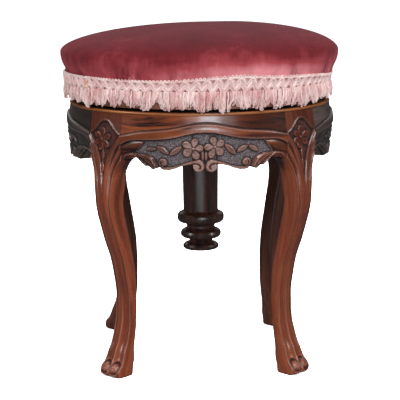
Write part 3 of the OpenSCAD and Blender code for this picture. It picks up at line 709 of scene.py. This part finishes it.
# Path of each tongue, its half width by the share of its length, and its height
TONGUES = (
    ([(93, 311), (80.5, 308.4), (71.8, 302.7), (67.4, 296.4)],
     [(0, 1.3), (0.4, 3.9), (0.75, 6.0), (1, 5.4)], 2.0),
    ([(92, 307.2), (85, 302), (78.6, 297)], [(0, 1.2), (0.5, 2.2), (1, 2.4)], 1.0))
# Middle of each flower and the middles and sizes of its petals
FLOWERS = (
    ((-14.9, 319.9), [(-12.9, 329.4, 4.6), (-23.8, 325.4, 5.0), (-22.4, 315.2, 5.8),
                      (-11.7, 311.0, 5.0), (-6.6, 320.8, 4.7)]),
    ((12.8, 322.3), [(3.4, 322.1, 4.7), (10.3, 331.4, 4.5), (19.7, 327, 5.0), (18.5, 316.2, 5.5),
                     (8.2, 312.2, 4.6)]))
# Ends and half width of each leaf
LEAVES = (
    ((-45.8, 311.1), (-29.5, 323.1), 3.8), ((-62.4, 322.9), (-46.1, 313.4), 4.0),
    ((-77, 318.4), (-63.4, 318.9), 2.7), ((25.2, 326.3), (39.6, 312), 4.0),
    ((41.1, 315.3), (55.2, 323), 3.8), ((56.6, 323), (71, 314.9), 3.3),
    ((-3, 318.2), (-3, 303.6), 1.8), ((1.3, 317), (1.3, 303.6), 1.8))
SCROLL_AT = 7.8
SCROLL_Z = 296.8
SCROLL_R = 7.8
APRON_STEP = 0.6
APRON_ROWS = 120
ARC_HALF = 113.4
APRONS = (("apron_front", 0), ("apron_right", 90), ("apron_back", 180), ("apron_left", 270))


def lower_edge(s):
    line = np.interp(np.abs(s), [p[0] for p in LOWER_EDGE], [p[1] for p in LOWER_EDGE])
    reach = np.clip(SCROLL_R ** 2 - (np.abs(s) - SCROLL_AT) ** 2, 0, None)
    return np.where(np.abs(s) < SCROLL_AT + SCROLL_R, np.minimum(line, SCROLL_Z - np.sqrt(reach)), line)


def tongue(x, y, path, widths, height, under):
    """Relief of a curling leaf tip that widens to its end, with veins along it."""
    distance, side, share = nearest(path, x, y)
    half = through(widths, share)
    q = distance / half
    veins = 0.4 * np.cos(q * side * math.pi * 2.6) * (half > 1.6)
    lift = (height + 2.0) * (0.45 + 0.55 * smooth(share, 0.1, 0.9))
    back = lift * np.sqrt(np.clip(1 - q ** 2.6, 0, 1)) - veins * (q < 0.92)
    return np.where(q < 1, under + back, under)


def rounded(inside, width):
    """Quarter round from 0 at an outline to 1 at a width inside it."""
    return np.sqrt(np.clip(1 - np.square(1 - np.clip(inside / width, 0, 1)), 0, 1))


def scroll_relief(a, z, under):
    """Relief of the moulding along the lower edge, curled at both ends."""
    inside = np.where((a > 8) & (a < 58), through(FILLET_TOP, a) - z, -9)
    for cx, cy, size in (VOLUTE,) + SCROLLS:
        inside = np.maximum(inside, size - np.hypot(a - cx, z - cy))
    cut = 2.3 * bell(nearest(NOTCH, a, z)[0], 0.85) + 2.0 * bell(nearest(SCROLL_NOTCH, a, z)[0], 0.85)
    return under + np.where(inside > 0, 2.9 * rounded(inside, 2.0) - cut, 0), inside


def leg_side_relief(a, z):
    """Relief of an apron's end, where the leg's rolls run on into it."""
    second = through(SECOND_ON_APRON, a)
    foot = through(BAND_FOOT, a)
    roll = 2.4 * bell((z - second) / np.maximum(foot - second, 2.5), 0.8)
    lip = 1.6 * bell(z - lower_edge(a) - 1.6, 1.6)
    deep = 1.8 * bell(nearest(DEEP_ON_APRON, a, z)[0], 1.3)
    return -1.9 + roll + lip - deep


def apron_relief(s, z):
    """Relief of an apron's face, and the shares of sunk ground and of raised ornament on it."""
    a = np.abs(s)
    head, foot, edge = through(BAND_HEAD, a), through(BAND_FOOT, a), lower_edge(s)
    below, above_foot = head - z, z - foot
    crown = 0.35 * np.sin(np.clip(above_foot / np.maximum(head - foot, 1), 0, 1) * math.pi)
    band = BAND_PROUD * rounded(below, 1.6) * rounded(above_foot + 0.3, 1.3) + crown
    relief = np.where(below > 0, band, -0.9 * bell(below + 0.9, 0.9))
    end = through([(h, r) for r, h in GROUND_END[::-1]], z)
    field = smooth(end - a, -0.8, 0.2)
    base = GROUND * field + leg_side_relief(a, z) * (1 - field)
    base = base + 1.3 * bell(a - end, 0.7) * (z > 313)
    raised = np.maximum.reduce([tongue(a, z, *row, GROUND) for row in TONGUES])
    plain = raised > GROUND + 0.1
    motif = np.maximum.reduce([leaf(s, z, *row, 2.9, GROUND, 0.7) for row in LEAVES]
                              + [flower(s, z, *row, 3.2, GROUND) for row in FLOWERS])
    curl, inside = scroll_relief(a, z, GROUND)
    motif = np.where(inside > 0, curl, motif)
    carved = np.maximum(np.maximum(base, raised), motif)
    under = above_foot < 0
    relief = np.where(under, carved, relief)
    ornament = under * smooth(motif, GROUND + 0.4, GROUND + 1.6) * ~(plain & (motif < -1.9))
    ground = under * field * (carved < GROUND + 0.35) * (z > edge + 1)
    # A pale line along the sunk ground's pointed end and along the band's top edge towards the ends is
    # partly painted highlight and partly dust; painted shade darkens the apron's ends where the leg's
    # rolls run on.
    worn_and_painted_light = 0.9 * bell(a - end, 0.7) * (z > 313) - 0.55 * (1 - field) * ~plain * (z > 312)
    worn_and_painted_light = under * worn_and_painted_light + 0.7 * bell(below - 0.1, 0.6) * smooth(a, 50, 90)
    return relief - 1.1 * (1 - rounded(z - edge, 1.2)), {"ground": ground, "motif": ornament,
                                                         "painted_light_and_wear": worn_and_painted_light, "veneer": below < 0}


def apron_points():
    """Columns of an apron that faces -Y, each a closed loop from its face round its back."""
    s = np.linspace(-ARC_HALF, ARC_HALF, int(ARC_HALF * 2 / APRON_STEP) + 1)[:, None]
    edge = lower_edge(s)
    t = np.linspace(0, 1, APRON_ROWS + 1)[None, :]
    z = edge + (PART_TOP - edge) * t
    relief, marks = apron_relief(s, z)
    back = [(178.5, PART_TOP), (REBATE_R, PART_TOP), (REBATE_R, 356), (REBATE_R, BACK_UNDER),
            (170, BACK_UNDER), (162, BACK_UNDER), (APRON_IN, BACK_UNDER)]
    back += [(APRON_IN, edge + (BACK_UNDER - edge) * share) for share in (0.75, 0.5, 0.25, 0)]
    back += [(r, edge) for r in (163, 168, 173, 177.5)]
    r = np.concatenate([FRIEZE_R + through(SWELL, z) + relief] + [0 * s + r for r, _ in back], 1)
    level = np.concatenate([z] + [0 * s + line for _, line in back], 1)
    limit = math.pi / 4 - np.arcsin((HALF_BLOCK + JOINT_GAP) / r)
    angle = s / ARC_HALF * limit
    points = np.stack([r * np.sin(angle), -r * np.cos(angle), level], -1)
    grain = np.stack([level, r - FRIEZE_R, np.broadcast_to(s, level.shape)], -1)
    return points, relief, marks, grain


def make_aprons():
    points, relief, marks, grain = apron_points()
    rows, cols = points.shape[:2]
    faces = [face[::-1] for face in capped_faces(rows, cols)]
    across = np.linspace(-1, 1, rows)[:, None]
    # Painted shade: the frieze darkens strongly towards each apron's right end; the band and carving
    # darken a little towards the right end and more towards the left end.
    shade = np.zeros((rows, cols))
    shade[:, :relief.shape[1]] = ((0.15 + 0.85 * marks["veneer"]) * smooth(across, 0.05, 0.7)
                                  + 0.6 * ~marks["veneer"] * smooth(-across, 0.3, 0.6))
    for k, (name, turn) in enumerate(APRONS):
        layers = carved_layers(relief, cols, grain + np.array([k * 120.0, 0, k * 400.0]), marks)
        obj = make_object("Carved_" + name, turned(points, turn), faces, "base",
                          ROSEWOOD if name == "apron_front" else ROSEWOOD_SIDE_SHADED,
                          {**layers, "shade": shade})
        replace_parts(obj, name)


# Cushion

CUSHION_SIDE = [
    (392, 180.8), (398, 182.3), (406, 185.5), (412, 187.6), (417.5, 190.4), (423, 192.5), (429, 193.8),
    (434, 194)]
CUSHION_FOOT, WIDEST_Z = CUSHION_SIDE[0][0], CUSHION_SIDE[-1][0]
CROWN_H = 37.0
CUSHION_COLS = 360
PEAK_SHIFT = 21.0
TACK_COUNT, TACK_DRIFT = 24, 0.045
# Height and angle from the front where the velvet's painted sheen is strongest
PAINTED_SHEEN_Z, PAINTED_SHEEN_AT = 411, 0.42
# Angle from the front and strength of the deep pulls seen over the braid
PULLS = [(-0.66, 1.7), (-0.61, 2.2), (-0.57, 1.5), (0.68, 1.5), (0.72, 1.2), (1.1, 2.0), (1.15, 1.4)]


def cushion_points():
    """Outer skin of the cushion from its tucked foot to its middle."""
    side_z = np.linspace(CUSHION_FOOT, WIDEST_Z, 26)
    side = np.stack([through(CUSHION_SIDE, side_z), side_z], -1)
    a = np.linspace(0, math.pi / 2, 60)[1:-1]
    r = CUSHION_R * np.cos(a)
    top = np.stack([r, WIDEST_Z + CROWN_H * np.power(1 - np.power(r / CUSHION_R, 2.2), 0.55)], -1)
    profile = np.concatenate([side, top])
    az = circle(CUSHION_COLS, 0)[None, :]
    r, z = profile[:, :1], profile[:, 1:]
    rise = np.clip((z - WIDEST_Z) / CROWN_H, 0, 1)
    shift = PEAK_SHIFT * rise ** 2
    rng = np.random.default_rng(SEED)
    tacks = circle(TACK_COUNT, 0) + rng.uniform(-TACK_DRIFT, TACK_DRIFT, TACK_COUNT)
    pull = rng.uniform(0.25, 1.0, TACK_COUNT)
    low = np.clip((WIDEST_Z - 2 - z) / 30, 0, 1)
    crease = np.zeros((len(profile), CUSHION_COLS))
    puff = np.zeros_like(crease)
    for angle, strength in zip(tacks, pull):
        d = np.angle(np.exp(1j * (az - angle)))
        lean = d + 0.02 * np.sin(strength * 40) * (1 - low)
        crease += strength * bell(lean, 0.013 + 0.02 * (1 - low)) * low ** 1.5
        puff += strength * bell(lean, 0.06) * low ** 1.2
    for front, strength in PULLS:
        d = np.angle(np.exp(1j * (az + math.pi / 2 - front)))
        crease += strength * bell(d + 0.05 * (1 - low) * np.sign(front), 0.011 + 0.012 * (1 - low)) * low
    wave = sum(rng.uniform(0.2, 0.6) * np.cos(k * az + rng.uniform(0, 6.28)) for k in (2, 3, 5))
    radius = r + wave * 0.5 * np.clip(rise * 3, 0, 1) - crease * 1.1 - puff * 0.5 + 0.5 * low
    x = radius * np.cos(az) + shift
    y = radius * np.sin(az)
    level = z + wave * 0.5 * rise + 0 * az
    return np.stack([x, y, level], -1), crease


def make_cushion():
    points, crease = cushion_points()
    rows, cols = points.shape[:2]
    flat = points.reshape(-1, 3)
    apex = [*flat[-cols:, :2].mean(0), WIDEST_Z + CROWN_H]
    skin = np.concatenate([flat, [apex, [0, 0, CUSHION_FOOT]]])
    last, apex_at, foot_at = (rows - 1) * cols, rows * cols, rows * cols + 1
    faces = grid_faces(rows, cols)
    faces += [[last + c, last + (c + 1) % cols, apex_at] for c in range(cols)]
    faces += [[(c + 1) % cols, c, foot_at] for c in range(cols)]
    az = np.arctan2(skin[:, 0], -skin[:, 1])
    z = skin[:, 2]
    outer = np.hypot(skin[:, 0], skin[:, 1]) > 120
    # Painted pink sheen low on the side, strongest at the front right, and a painted highlight beside
    # each crease.
    band = bell(z - PAINTED_SHEEN_Z, 19) * (0.3 + 0.7 * bell(az - PAINTED_SHEEN_AT, 0.62)) * outer
    crease, sheen_beside_crease = (np.append(np.clip(values, 0, 2), [0, 0])
                      for values in (crease, np.roll(crease, 3, 1)))
    painted_sheen = np.clip(0.23 + 0.8 * band + 0.22 * sheen_beside_crease * (crease < 0.5), 0, 1)
    obj = make_object("Velvet_cushion", skin, faces, "seat", VELVET,
                      {"painted_sheen": painted_sheen, "crease": np.clip(crease, 0, 1)}, sharp=80)
    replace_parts(obj, "velvet_cover", "stuffing_pad")


# Braid and fringe

BRAID_R = 182.0
# Level of the braid's top by the angle from the front
BRAID_TOP = [
    (-3.2, 409), (-1.275, 408.5), (-0.935, 408.5), (-0.56, 408), (-0.275, 408.5), (-0.075, 410.8),
    (0.12, 413.5), (0.25, 414.5), (0.545, 411.5), (0.965, 408.2), (1.295, 404.5), (2.2, 407), (3.2, 409)]
# Heights of the braid's rows over its foot
PICOT_ROW, HEAD_ROW, PLAIT_ROW, FOOT_ROW = 18.6, 16.9, 8.8, 0.5
HEAD_POINTS, HEAD_TWISTS, HEAD_R = 1440, 220, 0.85
PLAIT_POINTS = 2400
BACKING_COLS = 360
CHEVRONS = 79
CHEVRON_HALF = 4.2
CHEVRON_CORDS = 7
CORD_STEP = 2.2
YARN_R = 0.86
FRINGE_TOP = 0.6
BUNCHES = 46
THREADS = 30
THREAD_R = 0.4
SHORT_THREADS = 640
LOOP_STEPS = 7
PICOTS, PICOT_R = 230, 0.75
FRAYED_THREADS, FRAYED_R = 26, 0.42
# The braid's ends lie one over the other between these angles from the front
LAP_START = -1.5
LAP_END = -0.97


def braid_level(az, height):
    """Level of a height over the braid's even foot, where its top waves up and down."""
    lift = through(BRAID_TOP, az) - BRAID_FOOT - PICOT_ROW - 1.1
    return BRAID_FOOT + height + lift * height / 18


def seat_side(az, level):
    """Radius of the seat's side under the trimming, which hangs a little loose on the left."""
    loose = 4.5 * smooth(-np.sin(az), 0.55, 1.0) * (1 - smooth(level - BRAID_FOOT, 2, 20))
    return np.maximum(through(CUSHION_SIDE, level) + 0.4, BRAID_R) + loose


def lapped(az):
    """How far the braid stands out over its own end."""
    return 1.7 * smooth(az, LAP_START - 0.04, LAP_START) * (1 - smooth(az, LAP_END, LAP_END + 0.015))


def on_seat(az, out, z):
    """Points that stand out from the seat's side."""
    r = seat_side(az, z) + out
    return np.stack([r * np.sin(az), -r * np.cos(az), z], -1)


def unit(vectors):
    return vectors / np.maximum(np.linalg.norm(vectors, axis=1), 1e-6)[:, None]


def tube(path, radius, sides, closed=False):
    """Points and faces of a tube along a path."""
    ahead = unit(np.roll(path, -1, 0) - np.roll(path, 1, 0) if closed else np.gradient(path, axis=0))
    side = unit(np.cross(ahead, unit(path * np.array([1, 1, 0]))))
    up = np.cross(side, ahead)
    a = circle(sides, 0)[:, None]
    points = path[:, None] + radius * (np.cos(a) * up[:, None] + np.sin(a) * side[:, None])
    faces = grid_faces(len(path), sides, True) if closed else capped_faces(len(path), sides)
    return points.reshape(-1, 3), faces


class Batch:
    """Collects many tubes into one mesh."""

    def __init__(self):
        self.points, self.faces, self.tints = [], [], []
        self.count = 0

    def add(self, tube_mesh, tint):
        points, faces = tube_mesh
        self.points.append(points)
        self.tints.append(np.full(len(points), tint))
        self.faces += [[i + self.count for i in face] for face in faces]
        self.count += len(points)

    def make(self, name, material):
        return make_object(name, np.concatenate(self.points), self.faces, "seat",
                           material, {"tint": np.concatenate(self.tints)}, sharp=75)


def make_braid():
    cords, pinks = Batch(), Batch()
    rng = np.random.default_rng(SEED + 2)
    az = circle(HEAD_POINTS)
    for turn in (az * HEAD_TWISTS, az * HEAD_TWISTS + math.pi):
        z = braid_level(az, HEAD_ROW) + 0.75 * np.sin(turn)
        path = on_seat(az, lapped(az) + 0.9 + 0.75 * np.cos(turn), z)
        cords.add(tube(path, HEAD_R, 6, True), rng.uniform(-0.08, 0.08))
    az = circle(PLAIT_POINTS)
    phase = az * CHEVRONS + 0.35 * np.sin(az * 11)
    zigzag = np.arcsin(0.97 * np.sin(phase)) / math.asin(0.97) * (1 + 0.12 * np.sin(az * 23))
    for cord in range(CHEVRON_CORDS):
        place = (cord - (CHEVRON_CORDS - 1) / 2) * CORD_STEP
        across = PLAIT_ROW + CHEVRON_HALF * zigzag + place + 0.3 * np.sin(az * 31 + cord)
        z = braid_level(az, np.clip(across, FOOT_ROW, HEAD_ROW - 1.2))
        path = on_seat(az, lapped(az) + 1.1 + 0.6 * np.sin(phase + cord * 1.3), z)
        batch = pinks if cord % 3 == 1 else cords
        batch.add(tube(path, YARN_R, 5, True), rng.uniform(-0.12, 0.12))
    s = np.linspace(0, math.pi, 9)
    for k in range(PICOTS):
        angle = 2 * math.pi * k / PICOTS - math.pi + 1.5 / BRAID_R * np.cos(s)
        z = braid_level(angle, PICOT_ROW - 0.8 + 1.9 * np.sin(s))
        cords.add(tube(on_seat(angle, lapped(angle) + 0.8, z), PICOT_R, 6), rng.uniform(-0.12, 0.12))
    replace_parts(cords.make("Braid_cords", YARN), "braid_band")
    pinks.make("Braid_pink_cords", YARN_PINK)


def make_braid_end():
    """Frayed threads where the braid's end lies over its start."""
    rng = np.random.default_rng(SEED + 3)
    batch = Batch()
    s = np.linspace(0, 1, 6)
    for _ in range(FRAYED_THREADS):
        height = rng.uniform(-1, 16)
        angle = LAP_END + (rng.uniform(2, 6) * s - 1) / BRAID_R
        z = braid_level(angle, height + rng.normal(0, 1.4) * s)
        path = on_seat(angle, 3.2 * (1 - s) + rng.uniform(0.6, 1.4), z)
        batch.add(tube(path, FRAYED_R, 4), rng.uniform(-0.2, 0.2))
    batch.make("Braid_frayed_end", YARN_END)


def make_braid_backing():
    az = circle(BACKING_COLS)
    rows = [(-13, 0.0), (0, 0.0), (4, 0.1), (8, 0.15), (12, 0.2), (17.3, 0.2), (17.6, -1.6), (8, -1.9),
            (0, -1.9), (-13, -1.9)]
    points = []
    for height, out in rows:
        z = braid_level(az, height) if height > 0 else BRAID_FOOT + height + 0 * az
        points.append(on_seat(az, out, z))
    make_object("Braid_backing", np.concatenate(points), grid_faces(len(rows), len(az), True),
                "seat", YARN_BACK_SHADED)


def fringe_thread(rng, start, length, sway, out):
    """Path of one loop of the fringe: down, round its tip and up again, a little curled."""
    t = np.linspace(0, 1, LOOP_STEPS)
    down = np.concatenate([t, [1, 1, 1], t[::-1]])
    hand = np.concatenate([0 * t - 1, [-0.7, 0, 0.7], 0 * t + 1])
    drop = length * down + np.concatenate([0 * t, [0.6, 0.95, 0.6], 0 * t])
    loop = rng.uniform(0.7, 1.8)
    curl = rng.uniform(0.4, 1.7) * np.sin(down * rng.uniform(6, 15) + rng.uniform(0, 6.28)) * down
    wiggle = rng.normal(0, 0.35, len(down))
    angle = start + (sway * down ** 1.5 + hand * loop * 0.5 * (0.4 + down) + wiggle + curl) / BRAID_R
    z = BRAID_FOOT + FRINGE_TOP + 0.8 - drop
    out = 1.0 + out * (0.2 + 0.8 * np.sin(down * 2.2)) + hand * rng.uniform(-0.4, 0.4) + 0.5 * curl
    return on_seat(angle, out, z)


def make_fringe():
    rng = np.random.default_rng(SEED + 1)
    loops, short = Batch(), Batch()
    pitch = 2 * math.pi / BUNCHES
    for bunch in range(BUNCHES):
        middle = (bunch + rng.uniform(-0.2, 0.2)) * pitch
        longest = rng.uniform(20.5, 27.5)
        lean = rng.normal(0, 1.6)
        for _ in range(THREADS):
            place = rng.uniform(-0.62, 0.62)
            gather = rng.uniform(0.6, 0.9)
            length = longest * (1 - 0.9 * place ** 2) * rng.uniform(0.75, 1.0) + 0.7
            sway = place * (gather - 1) * pitch * BRAID_R + lean * 0.6 + rng.normal(0, 1.0)
            path = fringe_thread(rng, middle + place * pitch, length, sway, rng.uniform(0.3, 3.2))
            loops.add(tube(path, THREAD_R, 4), rng.uniform(-0.16, 0.16))
    # The short inner loops are tinted darker: painted shade behind the long loops.
    for _ in range(SHORT_THREADS):
        path = fringe_thread(rng, rng.uniform(0, 2 * math.pi), rng.uniform(10, 16.5), rng.normal(0, 1.2),
                             rng.uniform(0.2, 1.2))
        short.add(tube(path, THREAD_R, 4), rng.uniform(-0.3, -0.05))
    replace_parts(loops.make("Fringe_loops", YARN), "fringe_skirt")
    short.make("Fringe_short_loops", YARN)


# Solids

def repaint():
    """Materials of the solids; those that a finer piece stands for get its material too."""
    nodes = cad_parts
    at_rest = Shader.at_rest
    looks = (
        (VELVET, "velvet_cover"), (stuffing(), "stuffing_pad"), (YARN, "braid_band fringe_skirt"),
        (leather(), "leather_washer"),
        (plain_wood("Bead_wood", (186, 112, 54), (92, 44, 22), ring_place, (10, 260, 260), 0.26,
                    (0.38, 0.62), 0.4), "rim_bead"),
        (plain_wood("Hoop_wood", (158, 104, 76), (98, 58, 42), ring_place, (10, 300, 300), 0.55),
         "seat_ring"),
        (plain_wood("Dark_board", (84, 74, 70), (44, 39, 38), at_rest, (12, 160, 160), 0.6),
         "top_board"),
        (plain_wood("Pillar_wood", (92, 50, 36), (30, 17, 13), at_rest, (120, 120, 14), 0.28,
                    (0.42, 0.72), 0.6), "screw_pillar"),
        (plain_wood("Seat_wood", (186, 142, 98), (140, 98, 60), at_rest, (14, 150, 150), 0.7),
         "seat_board cross_rail_a cross_rail_b corner_blocks"),
        (metal("Iron", (62, 60, 60), (74, 52, 42), 0.45, 0.7), "seat_plate spindle_collar nut_plate"),
        (metal("Spindle_steel", (150, 144, 136), (90, 70, 54), 0.32, 0.95), "spindle_screw"),
        (metal("Steel", (160, 156, 150), (100, 84, 70), 0.38, 0.95),
         "seat_ring_screws cover_tacks seat_plate_screws nut_plate_screws top_board_screws"))
    chosen = {name: material for material, names in looks for name in names.split()}
    for name, obj in nodes.items():
        material = chosen.get(name, ROSEWOOD)
        if not obj.material_slots:
            obj.data.materials.append(material)
        for place in obj.material_slots:
            place.material = material
    for name in ("rim_bead", "screw_pillar", "seat_ring", "top_board", "leather_washer"):
        modifier = nodes[name].modifiers.new("Smooth", "WEIGHTED_NORMAL")
        modifier.keep_sharp = True


# Studio

def make_floor():
    size = 30.0
    mesh = bpy.data.meshes.new("Studio_floor")
    mesh.from_pydata([(-size, -size, 0), (size, -size, 0), (size, size, 0), (-size, size, 0)], [],
                     [(0, 1, 2, 3)])
    material, s = new_material("Studio_floor")
    shade = s.blend(s.ray("Is Glossy Ray"), (0.5, 0.5, 0.5, 1), (0.12, 0.12, 0.13, 1))
    shade = s.blend(s.ray("Is Camera Ray"), shade, (4.5, 4.5, 4.5, 1))
    surface = s.put("ShaderNodeBsdfDiffuse", {"Color": shade})
    s.node("ShaderNodeOutputMaterial", {"Surface": surface})
    mesh.materials.append(material)
    add_object("Studio_floor", mesh)


def area_light(name, place, aim, size, power, colour=(1, 1, 1)):
    data = bpy.data.lights.new(name, "AREA")
    data.shape = "RECTANGLE"
    data.size, data.size_y = size
    data.energy = power
    data.color = colour
    obj = add_object(name, data)
    obj.location = place
    obj.rotation_euler = (Vector(aim) - Vector(place)).to_track_quat("-Z", "Y").to_euler()


def make_lights():
    world = bpy.data.worlds.new("Studio")
    s = Shader(world)
    seen = s.put("ShaderNodeBackground", {"Color": (1, 1, 1, 1), "Strength": 1.0})
    dimmed = 0.3 - s.ray("Is Glossy Ray") * 0.2
    unseen = s.put("ShaderNodeBackground", {"Color": (0.94, 0.96, 1, 1), "Strength": dimmed})
    mixed = s.put("ShaderNodeMixShader", {0: s.ray("Is Camera Ray"), 1: unseen, 2: seen})
    s.node("ShaderNodeOutputWorld", {"Surface": mixed})
    bpy.context.scene.world = world
    area_light("Key", (0.45, -1.6, 2.1), (0, 0, 0.4), (1.3, 0.7), 25.5)
    area_light("Window", (0.24, -2.55, 0.79), (0, -0.19, 0.35), (0.7, 0.22), 9, (0.84, 0.92, 1))
    area_light("Window_wide", (0.3, -2.6, 0.8), (0, -0.19, 0.35), (1.9, 0.4), 6, (0.84, 0.92, 1))
    area_light("Sweep", (-0.15, -1.3, 0.01), (-0.15, -1.3, 1), (1.0, 0.7), 6)
    area_light("Left", (-1.9, -0.6, 2.0), (0, 0, 0.3), (1.2, 1.2), 11)
    area_light("Right", (1.9, -0.4, 2.0), (0, 0, 0.3), (1.2, 1.2), 5)
    area_light("Left_strip", (-2.0, -0.75, 1.25), (-0.1, -0.1, 0.1), (0.3, 0.6), 7)
    area_light("Right_strip", (2.0, -0.75, 1.25), (0.1, -0.1, 0.1), (0.3, 0.6), 7)
    area_light("Back", (0.0, 2.2, 1.9), (0, 0, 0.3), (2.4, 1.2), 14)


def make_camera():
    data = bpy.data.cameras.new("Camera")
    data.sensor_width = 36
    data.lens = 128.16
    data.shift_x = -0.0013
    data.clip_start, data.clip_end = 0.05, 100
    obj = add_object("Camera", data)
    place = Vector((-0.069, -1.9988, 0.591))
    tilt = Euler((math.radians(90 - 10.54), 0, math.radians(-1.976)), "XYZ").to_matrix()
    roll = Matrix.Rotation(math.radians(-0.5), 3, "Z")
    obj.matrix_world = Matrix.Translation(place) @ (tilt @ roll).to_4x4()
    bpy.context.scene.camera = obj


make_camera()
make_lights()
make_floor()
repaint()
make_legs()
make_aprons()
make_cushion()
make_braid()
make_braid_backing()
make_braid_end()
make_fringe()

bpy.context.scene.view_settings.view_transform = "Standard"
